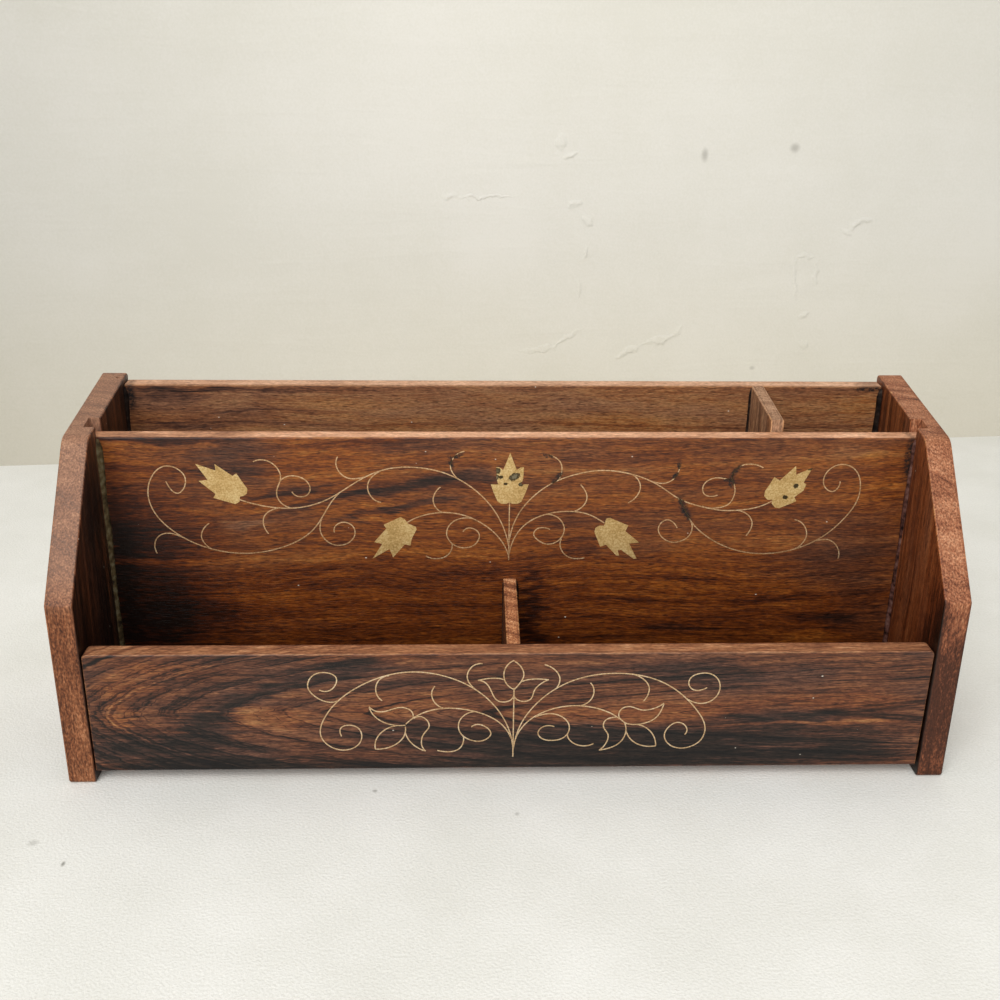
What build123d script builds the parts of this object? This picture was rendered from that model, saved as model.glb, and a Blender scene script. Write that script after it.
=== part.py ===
from build123d import *
import os

# Desk letter holder: five upright boards between two shaped sides, with a vine inlaid in brass.
# Millimetres. X runs to the right, Y to the back, Z up. The origin is on the table, under the middle.

# Overall size and the shaped sides
WIDTH = 305.0
DEPTH = 90.6
SIDE_THICKNESS = 9.2
SIDE_FRONT_HEIGHT = 68.2
SHOULDER_DEPTH = 36.5
SHOULDER_HEIGHT = 113.5
SIDE_BACK_HEIGHT = 121.6
SIDE_CORNER_RADIUS = 1.5
SIDE_SHOULDER_RADIUS = 7.0
ARRIS_RADIUS = 0.6

# Front, middle and back boards
PANEL_THICKNESS = 7.0
PANEL_LIFT = 4.7
PANEL_END_GAP = 0.35
PANEL_ARRIS_RADIUS = 0.7
FRONT_PANEL_HEIGHT = 45.3
FRONT_PANEL_CORNER_RADIUS = 1.7
FRONT_PANEL_TAPER = 0.5
FRONT_SETBACK = 0.4
MIDDLE_PANEL_PLACE = 44.6
MIDDLE_PANEL_DROP = 3.7
BACK_PANEL_DROP = 3.0
BACK_SETBACK = 0.2

# Grooves in the sides that hold the middle board
DADO_DEPTH = 4.0
DADO_CLEARANCE = 0.1

# Bottom board and the two dividers
BOTTOM_THICKNESS = 5.0
FRONT_DIVIDER_THICKNESS = 4.8
FRONT_DIVIDER_OFFSET = 0.5
FRONT_DIVIDER_RISE = 6.5
REAR_DIVIDER_THICKNESS = 4.7
REAR_SMALL_WIDTH = 45.5
REAR_DIVIDER_STEP = 4.4
DIVIDER_ARRIS_RADIUS = 0.5

# Brads driven through the sides
BRAD_DIAMETER = 1.3
BRAD_HEAD_DIAMETER = 2.2
BRAD_HEAD_THICKNESS = 0.8
BRAD_LENGTH = 24.0
BRAD_END_MARGIN = 9.0
FRONT_BRADS = 2
MIDDLE_BRADS = 3
BACK_BRADS = 3
BOTTOM_BRADS = 2

# Old pin hole in the top of the left side
PIN_HOLE_DIAMETER = 1.5
PIN_HOLE_DEPTH = 5.0
PIN_HOLE_INSET = 2.3
PIN_HOLE_FROM_BACK = 5.5

# Brass inlay
WIRE_WIDTH = 0.4
WIRE_GAP = 0.06
INLAY_DEPTH = 1.2
INLAY_PROUD = 0.05
FRONT_ORNAMENT_MARGIN = 73.9
FRONT_ORNAMENT_OFFSET = 0.6
FRONT_ORNAMENT_FOOT = 4.7
FRONT_ORNAMENT_HEADROOM = 2.6
MIDDLE_ORNAMENT_MARGIN = 16.2
MIDDLE_ORNAMENT_FOOT = 54.3
MIDDLE_ORNAMENT_HEADROOM = 5.1

# Places that follow from the sizes above
FRONT_EDGE = -DEPTH / 2
BACK_EDGE = DEPTH / 2
INNER_HALF = WIDTH / 2 - SIDE_THICKNESS
FRONT_FACE = FRONT_EDGE + FRONT_SETBACK
FRONT_PANEL_BACK = FRONT_FACE + PANEL_THICKNESS
FRONT_PANEL_TOP = PANEL_LIFT + FRONT_PANEL_HEIGHT
MIDDLE_FACE = FRONT_EDGE + MIDDLE_PANEL_PLACE
MIDDLE_PANEL_BACK = MIDDLE_FACE + PANEL_THICKNESS
BACK_FACE = BACK_EDGE - BACK_SETBACK - PANEL_THICKNESS
BACK_PANEL_TOP = SIDE_BACK_HEIGHT - BACK_PANEL_DROP
FLOOR_TOP = PANEL_LIFT + BOTTOM_THICKNESS
MIDDLE_ORNAMENT_BASE = FLOOR_TOP + MIDDLE_ORNAMENT_FOOT
SLANT = (SIDE_BACK_HEIGHT - SHOULDER_HEIGHT) / (DEPTH - SHOULDER_DEPTH)


def side_edge_height(y):
    """Height of the sides' upper slant at a depth behind the shoulder."""
    return SHOULDER_HEIGHT + SLANT * (y - FRONT_EDGE - SHOULDER_DEPTH)


MIDDLE_PANEL_TOP = side_edge_height(MIDDLE_FACE) - MIDDLE_PANEL_DROP

# An ornament is drawn in two halves, each by distance out from the centre line and height above the foot.
# A stroke starts on the stroke that it grows from, which cuts it to length.
FRONT_STEM = [(0, 0), (0, 27.4)]
FRONT_LEFT = {
    "arch_wire": [
        [(0, 1.6), (1.3, 10.3), (10.2, 24.5), (25.6, 32.7), (35.8, 33.7), (53.1, 27.7), (63.8, 16.8),
         (65.6, 8.4), (58.7, 3.2), (52.3, 6.6), (53.2, 12.2), (58.2, 12.6), (58.7, 8.7)],
    ],
    "curl_wire": [
        [(56.6, 25.2), (62.7, 22.3), (66.9, 24.4), (69.3, 28.3), (67.8, 32.2), (63.5, 33.7), (59.7, 31.7),
         (60.4, 28.3), (65.5, 27.0)],
    ],
    "branch_wire": [
        [(0.8, 7.5), (4.9, 13.9), (16.2, 19.0), (23.1, 19.6), (30.1, 18.1), (36.7, 13.4)],
    ],
    "scroll_wire": [
        [(10.0, 17.0), (16.2, 17.2), (18.6, 14.0), (17.9, 9.4), (14.4, 6.8), (10.0, 6.8), (7.7, 9.3),
         (9.2, 11.9), (14.4, 12.1)],
    ],
    "tendril_wires": [
        [(42.0, 32.4), (46.2, 29.2), (46.3, 25.2), (44.5, 22.7)],
        [(21.8, 19.5), (26.6, 21.6), (27.8, 25.1), (26.7, 28.2)],
        [(11.8, 25.8), (14.1, 28.0), (15.8, 31.4), (14.5, 35.3), (10.7, 36.8)],
        [(18.1, 10.4), (17.1, 6.3), (18.8, 3.2), (22.3, 2.2), (26.1, 2.8)],
    ],
    "flower_wires": [
        [(36.9, 13.0), (34.2, 15.8), (34.6, 18.3), (37.8, 20.0), (43.0, 18.7), (49.0, 20.3)],
        [(36.9, 13.0), (42.3, 13.4), (46.6, 15.9), (49.0, 20.3)],
        [(36.9, 12.6), (42.3, 12.1), (46.3, 8.6), (47.3, 3.5)],
        [(36.9, 12.4), (38.3, 7.2), (42.5, 4.2), (47.3, 3.5)],
        [(34.3, 15.4), (30.4, 15.8), (28.8, 12.5), (30.6, 9.5), (31.5, 6.4), (30.1, 2.5)],
        [(36.9, 12.8), (36.3, 8.0), (33.7, 4.6), (30.1, 2.5)],
    ],
    "bud_wires": [
        [(0, 26.8), (3.4, 31.2), (3.0, 35.0), (0, 38.0)],
        [(0.6, 27.4), (3.4, 30.6), (7.2, 31.2), (12.2, 30.4)],
        [(0, 24.6), (1.9, 22.2), (5.2, 22.3), (8.2, 27.4), (12.2, 30.4)],
    ],
}
FRONT_RIGHT = {
    "arch_wire": [
        [(0, 2.7), (0.5, 5.9), (2.3, 12.5), (6.2, 19.3), (11.9, 25.3), (19.9, 30.1), (28.9, 32.5),
         (37.7, 32.7), (45.9, 31.1), (52.9, 27.8), (58.5, 23.2), (63.4, 17.3), (66.1, 11), (64.6, 5.8),
         (61.4, 3.6), (58, 3), (53.9, 4.7), (52.2, 8.1), (53.4, 11.5), (56.6, 13.4), (58.9, 12.4),
         (59.9, 10.3), (59.2, 8.5)],
    ],
    "curl_wire": [
        [(57.9, 23.8), (61, 21.6), (64.3, 20.9), (68, 22.4), (70, 26.5), (68.9, 30.6), (66.2, 32.5),
         (62.8, 32.6), (59.7, 30.8), (59.3, 28.5), (60.8, 26.4), (63.2, 26.1), (65.6, 27.1)],
    ],
    "branch_wire": [
        [(0.5, 5.7), (2.3, 10.7), (5.7, 14.9), (11, 18.2), (16.5, 19.9), (21.9, 20.3), (27.7, 19.4),
         (32.3, 17.7), (36.3, 15)],
    ],
    "scroll_wire": [
        [(7.3, 15.9), (10.4, 17), (13.8, 17.1), (16.9, 15.7), (19.1, 12.6), (18.7, 9.2), (16.5, 7.1),
         (13.4, 6.5), (9.9, 7.3), (8.5, 9.5), (9.5, 11.5), (11.5, 12.4), (14, 12)],
    ],
    "tendril_wires": [
        [(40.4, 32.3), (43.5, 30.7), (45.8, 27.4), (45.6, 24.5), (44.2, 21.9)],
        [(21.6, 20.2), (24.8, 21.2), (26.7, 23.6), (27.1, 26.4), (25.8, 29.2)],
        [(12.9, 25.9), (15, 28.4), (15.4, 31.1), (14.4, 33.4), (12.8, 35), (10.2, 36.3)],
        [(18.8, 9.8), (19, 7.4), (20.9, 5.3), (24.2, 4.2), (27.8, 5.1)],
    ],
    "flower_wires": [
        [(37.1, 14.5), (36, 16.9), (37, 19), (39.7, 19.8), (43.5, 18.5), (47.3, 18.8), (51.3, 21.1)],
        [(37.1, 14.5), (39.2, 13), (42.1, 12.7), (46.2, 13.6), (49.2, 15.8), (50.6, 18.5), (51.3, 21.1)],
        [(37, 15.1), (38.6, 12.1), (38.5, 8.4), (36.5, 5.1), (33.4, 3.3), (29.8, 2.4)],
        [(37, 15.1), (33.7, 15.5), (31.2, 13.9), (31.1, 11.5), (32.6, 8.9), (32.3, 5.7), (29.8, 2.4)],
        [(41.1, 12.7), (43.9, 12.3), (46.8, 10.4), (48.7, 7.5), (49.4, 4)],
        [(38.7, 11.7), (39.5, 8.4), (41.8, 5.6), (45.4, 4), (49.4, 4)],
    ],
    "bud_wires": [
        [(0, 26.6), (2, 29.3), (3.2, 32.1), (2.3, 35.4), (0, 37.6)],
        [(0.1, 26.4), (1.5, 29.1), (4.1, 30.4), (8, 30.8), (11.7, 30.5)],
        [(0, 25.4), (0.9, 23), (3.1, 22.1), (5.7, 23), (6.9, 26.3), (9.1, 29), (11.7, 30.5)],
    ],
}
MIDDLE_STEM = [(0, 0), (0, 22.7)]
MIDDLE_LEFT = {
    "vine_wire": [
        [(0, 5.0), (1.8, 12.2), (6.5, 21.1), (13.3, 28.2), (22.3, 33.5), (33.1, 35.9), (43.9, 35.1),
         (53.4, 30.8), (64.0, 24.0), (73.6, 20.8), (84.0, 20.8), (95.4, 23.8)],
    ],
    "sweep_wire": [
        [(57.0, 28.6), (62.9, 23.0), (69.5, 12.6), (81.4, 5.2), (93.6, 2.9), (107.5, 5.0), (119.4, 11.6),
         (126.2, 20.8), (125.8, 31.1), (119.6, 36.4), (113.6, 32.0), (115.6, 26.6), (120.4, 30.7)],
    ],
    "branch_wire": [
        [(0, 1.5), (3.1, 8.2), (9.6, 14.4), (18.3, 18.2), (27.9, 18.3), (36.6, 14.8)],
    ],
    "hook_wire": [
        [(75.6, 20.5), (80.0, 21.8), (81.9, 24.5), (82.0, 27.2), (80.4, 32.0), (81.4, 35.6), (84.4, 38.2),
         (89.6, 38.0)],
    ],
    "scroll_wires": [
        [(81.4, 29.2), (78.4, 32.4), (74.9, 32.6), (71.6, 30.9), (70.3, 28.3), (71.3, 25.6), (73.7, 24.8),
         (76.7, 26.7)],
        [(65.2, 18.8), (67.4, 13.9), (67.1, 10.4), (61.7, 6.0), (55.5, 9.3), (55.4, 12.7), (58.6, 15.0),
         (62.0, 13.5), (62.4, 11.0)],
        [(11.6, 15.7), (16.9, 16.5), (20.8, 14.5), (22.4, 10.6), (20.2, 6.4), (16.0, 4.9), (11.8, 6.7),
         (10.8, 10.5), (13.7, 12.7), (16.5, 11.3)],
    ],
    "tendril_wires": [
        [(113.0, 7.3), (118.5, 10.2), (122.2, 10.8), (125.3, 9.1), (126.5, 6.1), (125.9, 2.9)],
        [(104.4, 4.0), (108.6, 6.6), (109.7, 9.4), (108.9, 12.2), (106.6, 14.6)],
        [(78.6, 20.2), (84.5, 19.6), (87.0, 17.2), (87.4, 14.3), (85.8, 10.6)],
        [(49.2, 33.1), (53.7, 31.7), (57.2, 32.0), (60.0, 34.4), (60.9, 37.2), (60.2, 39.9)],
        [(43.2, 35.3), (48.0, 32.8), (50.0, 29.6), (49.7, 26.2), (45.5, 22.6)],
        [(16.4, 30.4), (19.6, 33.0), (20.9, 36.4), (19.4, 40.0), (16.0, 41.9)],
        [(21.2, 18.7), (26.0, 20.4), (27.1, 23.6), (26.4, 26.2), (24.5, 28.5)],
        [(21.4, 8.4), (20.5, 4.8), (22.6, 1.6), (25.8, 0.6), (29.9, 1.7)],
    ],
}
MIDDLE_RIGHT = {
    "vine_wire": [
        [(0, 4), (1, 12.3), (4.1, 19.5), (9.4, 25.8), (14.9, 29.9), (23, 33.2), (32.5, 34.8), (41.7, 33.7),
         (49.7, 30.9), (55.2, 27.6), (60.1, 24.2), (64.6, 22.2), (69.7, 20.7), (76.3, 19.5), (82.8, 19.6),
         (88.1, 20.5), (94, 23.1)],
    ],
    "sweep_wire": [
        [(59.7, 24.7), (62.7, 20.2), (65.2, 15.5), (69.1, 11.2), (74.9, 7.1), (82.3, 3.9), (91.6, 2.4),
         (100.3, 3.2), (108.1, 5.8), (115, 10.1), (120.7, 16.1), (124.6, 22.9), (125.2, 29.3),
         (122.9, 34.8), (118.2, 37.1), (113.4, 35.2), (111.7, 30.8), (113.2, 27.7), (115.6, 26.8),
         (117.5, 28.8), (117.7, 30.6)],
    ],
    "branch_wire": [
        [(0, 1.6), (1.1, 6.6), (3.9, 12), (7.8, 15.6), (12.8, 17.9), (18.1, 19), (23.5, 19), (28.5, 17.9),
         (32.7, 15.6), (34.2, 14.6)],
    ],
    "hook_wire": [
        [(69, 21.1), (71.5, 20.4), (74.8, 20.5), (78.3, 21.8), (80.1, 25), (80.1, 28.5), (79, 31.9),
         (80, 35.1), (82.7, 36.9), (86.2, 37.1), (89.7, 35.8)],
    ],
    "scroll_wires": [
        [(79.3, 31), (77.1, 31.5), (73.5, 32), (70.4, 31), (68.7, 28.3), (69.4, 25.8), (71.7, 24.9),
         (74.2, 25.4)],
        [(65.4, 15.1), (66, 12.6), (65.1, 9.6), (62.3, 7.5), (59.1, 7), (55.5, 8.8), (53.8, 11.9),
         (54.8, 14.8), (56.9, 15.8), (59.1, 14.7), (60.5, 12.6)],
        [(12, 17.7), (15.1, 17.8), (18, 16.2), (19.8, 12.6), (19.1, 9.3), (17, 7.1), (14, 6.3), (10.7, 7.7),
         (8.9, 10.5), (10, 12.3), (12.2, 12.8), (14.7, 12.1)],
    ],
    "tendril_wires": [
        [(109.9, 6.8), (112.7, 7.8), (116.3, 7.8), (118.9, 6), (120.4, 3.3), (120.5, 0.3)],
        [(103.2, 3.9), (106.3, 6), (107.9, 9.6), (107, 12.9), (105.2, 14.9), (102.9, 15.8)],
        [(80.3, 19.5), (83.7, 19), (86.4, 17.1), (87.6, 14.3), (87.2, 12), (85.8, 9.5)],
        [(48.6, 31.4), (52.2, 30.1), (55.6, 30.1), (58.2, 31.7), (59.7, 34.5), (59.9, 37.2)],
        [(39.6, 34.2), (43.2, 33.3), (45.5, 31.2), (46.4, 28.1), (45.4, 25.2), (42.3, 22.4)],
        [(14.6, 29.6), (17.5, 31.9), (18.3, 34.8), (17.7, 37.8), (15.9, 39.6), (13.4, 40.6)],
        [(22, 18.9), (25.2, 20.2), (27.1, 22.5), (27.5, 25.1), (26.6, 27.4), (25.1, 29.4)],
        [(18.9, 8.5), (18.6, 5.3), (19.7, 2.9), (21.7, 1.2), (24.3, 0.5), (27.6, 0.9)],
    ],
}
CENTRE_LEAF_HALF = [
    (0, 41.4), (1.0, 38.6), (2.4, 34.9), (3.7, 35.9), (4.9, 36.0), (4.7, 31.8), (4.1, 29.5), (6.7, 29.5),
    (5.7, 26.4), (4.2, 22.9), (2.9, 22.1), (0.9, 22.1), (0, 22.8),
]
CENTRE_LEAF = CENTRE_LEAF_HALF + [(-u, v) for u, v in reversed(CENTRE_LEAF_HALF[1:-1])]
LEFT_LEAVES = {
    "upper_leaf": [
        (109.7, 37.2), (102.8, 34.7), (103.0, 37.1), (97.1, 32.7), (95.7, 33.6), (92.2, 27.7), (92.6, 25.9),
        (93.8, 25.1), (95.0, 24.9), (95.3, 22.9), (96.8, 22.0), (104.3, 24.4), (103.5, 25.9), (109.0, 30.8),
        (105.8, 31.2),
    ],
    "lower_leaf": [
        (38.8, 17.0), (37.3, 16.2), (36.2, 14.5), (33.4, 13.2), (33.1, 12.2), (34.9, 8.5), (35.4, 5.8),
        (37.4, 6.3), (41.7, 1.2), (43.0, 4.5), (49.1, 0.7), (45.5, 6.5), (48.4, 7.2), (43.9, 12.5),
        (44.8, 14.0),
    ],
}
RIGHT_LEAVES = {
    "upper_leaf": [
        (101.3, 36.5), (101.7, 33.2), (107.4, 35.9), (104.6, 30.2), (105.7, 29.6), (104.9, 27.1),
        (101.9, 24.6), (102.7, 23.1), (101.3, 22.3), (96.8, 20.3), (95.3, 20.6), (94, 22.1), (94.1, 23.6),
        (92.3, 23.6), (91, 25), (91.1, 26.8), (94, 32.3), (96, 31),
    ],
    "lower_leaf": [
        (34.8, 16.3), (36.1, 16.6), (42.9, 13.6), (41.9, 11.4), (47.1, 6.9), (43.5, 6.5), (46.5, 0.6),
        (45.4, 0.4), (40.7, 4), (39.5, 3.8), (40.1, 1.7), (39, 1.8), (35.1, 6.1), (33.1, 5.2), (30.7, 11.1),
        (31.1, 12.7), (32.5, 13.6), (34.1, 13.5),
    ],
}


def stretch(half, margin, height):
    """Factors that fit a half drawing between its margin and its height on the board."""
    points = [point for strokes in half.values() for stroke in strokes for point in stroke]
    furthest = max(u for u, _ in points)
    highest = max(v for _, v in points)
    return (INNER_HALF - margin) / furthest, height / highest


def fitted(points, factors):
    """Points of the drawing, stretched to the board."""
    return [(u * factors[0], v * factors[1]) for u, v in points]


def ribbon(points, width):
    """Flat strip of one width along a smooth curve, or a straight line between two points."""
    path = Line(*points) if len(points) == 2 else Spline(*points)
    return trace(path, line_width=width)


def largest(shape):
    """The biggest face of a flat shape."""
    return shape.faces().sort_by(SortBy.AREA)[-1]


def cut_back(strip, obstacles):
    """What is left of a strip outside the obstacles that it meets."""
    for other in obstacles:
        if strip.bounding_box().overlaps(other.bounding_box()):
            strip = strip - other
    return largest(strip)


def draw_half(half, obstacles):
    """Strips of a half drawing by node name, each cut where it meets an earlier one or an obstacle."""
    drawn = {}
    for name, strokes in half.items():
        drawn[name] = []
        for points in strokes:
            drawn[name].append(cut_back(ribbon(points, WIRE_WIDTH), obstacles))
            obstacles = obstacles + [ribbon(points, WIRE_WIDTH + 2 * WIRE_GAP)]
    return drawn


def inlaid(face, centre, face_y, foot):
    """Solid inlay from a flat drawing, let into a board whose front is at face_y."""
    plane = Plane(origin=(centre, face_y, foot), x_dir=(1, 0, 0), z_dir=(0, -1, 0))
    sunk = plane.location * Pos(0, 0, -INLAY_DEPTH) * face
    return extrude(sunk, amount=INLAY_DEPTH + INLAY_PROUD, dir=(0, -1, 0))


def mirrored(faces):
    """The same drawing on the other side of its centre line."""
    return [mirror(face, about=Plane.YZ) for face in faces]


def rim(plate):
    """Room of a flat plate, a little larger all round."""
    return offset(plate, WIRE_GAP, kind=Kind.INTERSECTION)


def plate_face(points, factors):
    """Flat plate from its outline in the drawing."""
    return make_face(Polyline(*fitted(points, factors), close=True))


def ornament(label, stem, crest, halves, margin, height, centre, face_y, foot):
    """Inlay solids of one board by node name.

    crest holds the outlines of the plates on the stem, and halves the strokes and outlines of each side.
    """
    factors = stretch(halves["left"][0], margin, height)
    stem = fitted(stem, factors)
    centre_line = ribbon([(0, 0), (0, height + WIRE_WIDTH)], 2 * WIRE_GAP)
    crest = {name: plate_face(points, factors) for name, points in crest.items()}
    rims = [rim(plate) for plate in crest.values()]
    faces = {name: [plate.face()] for name, plate in crest.items()}
    faces[f"{label}_stem_wire"] = [cut_back(ribbon(stem, WIRE_WIDTH), rims)]
    middle_room = [ribbon(stem, WIRE_WIDTH + 2 * WIRE_GAP), centre_line] + rims
    for side, (strokes, outlines) in halves.items():
        strokes = {name: [fitted(points, factors) for points in group] for name, group in strokes.items()}
        plates = {name: plate_face(points, factors) for name, points in outlines.items()}
        drawn = draw_half(strokes, middle_room + [rim(plate) for plate in plates.values()])
        drawn = {f"{label}_{name}": strips for name, strips in drawn.items()}
        drawn |= {name: [plate.face()] for name, plate in plates.items()}
        for name, group in drawn.items():
            faces[f"{name}_{side}"] = mirrored(group) if side == "left" else group
    return {name: [inlaid(face, centre, face_y, foot) for face in group] for name, group in faces.items()}


def upright(outline, face_y):
    """Board of the panel thickness behind face_y, from its outline seen from the front."""
    plane = Plane(origin=(0, face_y, 0), x_dir=(1, 0, 0), z_dir=(0, -1, 0))
    return extrude(plane.location * outline, amount=PANEL_THICKNESS, dir=(0, 1, 0))


def front_panel():
    """Low front board, its top corners rounded and its right end a little out of square."""
    half = INNER_HALF - PANEL_END_GAP
    corners = Polyline(
        (-half, PANEL_LIFT),
        (-half, FRONT_PANEL_TOP),
        (half, FRONT_PANEL_TOP),
        (half - FRONT_PANEL_TAPER, PANEL_LIFT),
        close=True,
    )
    outline = make_face(corners)
    outline = fillet(outline.vertices().group_by(Axis.Y)[-1], FRONT_PANEL_CORNER_RADIUS)
    solid = upright(outline, FRONT_FACE)
    return fillet(solid.faces().filter_by(Axis.Y).edges(), PANEL_ARRIS_RADIUS)


def plain_panel(half_width, foot, top, face_y):
    """Square board with a softened top edge."""
    outline = Pos(0, (foot + top) / 2) * Rectangle(2 * half_width, top - foot)
    solid = upright(outline, face_y)
    return fillet(solid.edges().group_by(Axis.Z)[-1].filter_by(Axis.X), PANEL_ARRIS_RADIUS)


def side_board(hand):
    """Shaped side, hand -1 on the left and 1 on the right, with its groove for the middle board."""
    shoulder = (FRONT_EDGE + SHOULDER_DEPTH, SHOULDER_HEIGHT)
    profile = Polyline(
        (FRONT_EDGE, 0),
        (FRONT_EDGE, SIDE_FRONT_HEIGHT),
        shoulder,
        (BACK_EDGE, SIDE_BACK_HEIGHT),
        (BACK_EDGE, 0),
        close=True,
    )
    outline = make_face(profile)
    outline = fillet(outline.vertices().sort_by_distance(shoulder)[1:], SIDE_CORNER_RADIUS)
    outline = fillet(outline.vertices().sort_by_distance(shoulder)[0], SIDE_SHOULDER_RADIUS)
    inner = hand * INNER_HALF
    start = min(inner, inner + hand * SIDE_THICKNESS)
    solid = extrude(Plane.YZ.offset(start).location * outline, amount=SIDE_THICKNESS)
    solid = fillet(solid.faces().filter_by(Axis.X).edges(), ARRIS_RADIUS)
    groove = Box(
        2 * DADO_DEPTH,
        PANEL_THICKNESS + 2 * DADO_CLEARANCE,
        SIDE_BACK_HEIGHT,
        align=(Align.CENTER, Align.MIN, Align.MIN),
    )
    return solid - Pos(inner, MIDDLE_FACE - DADO_CLEARANCE, FLOOR_TOP) * groove


def bottom_board():
    """Bottom let in between the sides, the front board and the back board."""
    run = BACK_FACE - FRONT_PANEL_BACK
    solid = Box(2 * INNER_HALF, run, BOTTOM_THICKNESS, align=(Align.CENTER, Align.MIN, Align.MIN))
    return Pos(0, FRONT_PANEL_BACK, PANEL_LIFT) * solid


def divider(thickness, centre, front, back, front_top, back_top):
    """Upright divider with a sloping top, standing on the bottom board."""
    corners = [(front, FLOOR_TOP), (front, front_top), (back, back_top), (back, FLOOR_TOP)]
    plane = Plane.YZ.offset(centre - thickness / 2)
    solid = extrude(plane.location * make_face(Polyline(*corners, close=True)), amount=thickness)
    slope = solid.faces().sort_by(Axis.Z)[-1]
    return fillet(slope.edges().sort_by(SortBy.LENGTH)[-2:], DIVIDER_ARRIS_RADIUS)


def pin_hole():
    """Room of the old pin hole, square to the table, from above the slanted edge."""
    y = BACK_EDGE - PIN_HOLE_FROM_BACK
    room = Cylinder(PIN_HOLE_DIAMETER / 2, 2 * PIN_HOLE_DEPTH)
    return Pos(-INNER_HALF - PIN_HOLE_INSET, y, side_edge_height(y)) * room


def spaced(low, high, count):
    """Places of a row of brads, with one at each end."""
    return [low + (high - low) * index / (count - 1) for index in range(count)]


def brad_places():
    """Depth and height of each brad on one side."""
    low = FLOOR_TOP + BRAD_END_MARGIN
    rows = [
        (FRONT_FACE, FRONT_PANEL_TOP, FRONT_BRADS),
        (MIDDLE_FACE, MIDDLE_PANEL_TOP, MIDDLE_BRADS),
        (BACK_FACE, BACK_PANEL_TOP, BACK_BRADS),
    ]
    places = []
    for face_y, top, count in rows:
        y = face_y + PANEL_THICKNESS / 2
        places += [(y, z) for z in spaced(low, top - BRAD_END_MARGIN, count)]
    height = PANEL_LIFT + BOTTOM_THICKNESS / 2
    run = spaced(FRONT_PANEL_BACK + BRAD_END_MARGIN, BACK_FACE - BRAD_END_MARGIN, BOTTOM_BRADS)
    return places + [(y, height) for y in run]


def brad(hand, y, z):
    """Brad driven in square to a side, its head flush with the outer face."""
    foot = (Align.CENTER, Align.CENTER, Align.MIN)
    shank = Cylinder(BRAD_DIAMETER / 2, BRAD_LENGTH, align=foot)
    head = Cylinder(BRAD_HEAD_DIAMETER / 2, BRAD_HEAD_THICKNESS, align=foot)
    plane = Plane(origin=(hand * WIDTH / 2, y, z), z_dir=(-hand, 0, 0))
    return plane.location * (shank + head)


def all_pieces():
    """Every node of the letter holder, as lists of solids by name."""
    front_room = FRONT_PANEL_HEIGHT - FRONT_ORNAMENT_FOOT - FRONT_ORNAMENT_HEADROOM
    front_inlay = ornament(
        "front", FRONT_STEM, {}, {"left": (FRONT_LEFT, {}), "right": (FRONT_RIGHT, {})},
        FRONT_ORNAMENT_MARGIN, front_room,
        FRONT_ORNAMENT_OFFSET, FRONT_FACE, PANEL_LIFT + FRONT_ORNAMENT_FOOT)
    middle_room = MIDDLE_PANEL_TOP - MIDDLE_ORNAMENT_HEADROOM - MIDDLE_ORNAMENT_BASE
    middle_inlay = ornament(
        "middle", MIDDLE_STEM, {"centre_leaf": CENTRE_LEAF},
        {"left": (MIDDLE_LEFT, LEFT_LEAVES), "right": (MIDDLE_RIGHT, RIGHT_LEAVES)},
        MIDDLE_ORNAMENT_MARGIN, middle_room,
        0, MIDDLE_FACE, MIDDLE_ORNAMENT_BASE)
    left_brads = [brad(-1, y, z) for y, z in brad_places()]
    right_brads = [brad(1, y, z) for y, z in brad_places()]
    brads = left_brads + right_brads
    middle = plain_panel(INNER_HALF + DADO_DEPTH - DADO_CLEARANCE, FLOOR_TOP, MIDDLE_PANEL_TOP, MIDDLE_FACE)
    back = plain_panel(INNER_HALF - PANEL_END_GAP, PANEL_LIFT, BACK_PANEL_TOP, BACK_FACE)
    front_divider = divider(
        FRONT_DIVIDER_THICKNESS, FRONT_DIVIDER_OFFSET, FRONT_PANEL_BACK, MIDDLE_FACE,
        FRONT_PANEL_TOP, FRONT_PANEL_TOP + FRONT_DIVIDER_RISE)
    rear_divider = divider(
        REAR_DIVIDER_THICKNESS, INNER_HALF - REAR_SMALL_WIDTH - REAR_DIVIDER_THICKNESS / 2,
        MIDDLE_PANEL_BACK, BACK_FACE, MIDDLE_PANEL_TOP + REAR_DIVIDER_STEP, BACK_PANEL_TOP)
    pieces = {
        "left_side": [side_board(-1) - left_brads - pin_hole()],
        "right_side": [side_board(1) - right_brads],
        "front_panel": [front_panel() - sum(front_inlay.values(), []) - brads],
        "middle_panel": [middle - sum(middle_inlay.values(), []) - brads],
        "back_panel": [back - brads],
        "bottom_board": [bottom_board() - brads],
        "front_divider": [front_divider],
        "rear_divider": [rear_divider],
        "left_side_brads": left_brads,
        "right_side_brads": right_brads,
    }
    return pieces | front_inlay | middle_inlay


def main():
    """Write one file per node."""
    os.makedirs("parts", exist_ok=True)
    for name, group in all_pieces().items():
        solids = [solid for shape in group for solid in shape.solids()]
        export_step(Compound(label=name, children=solids), f"parts/{name}.step")


main()
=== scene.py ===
import logging
import math
from dataclasses import dataclass, field
from enum import Enum
from typing import Any, Mapping, Optional, Sequence, Union

import bmesh
import bpy
from mathutils import Matrix, Vector, noise


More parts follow.
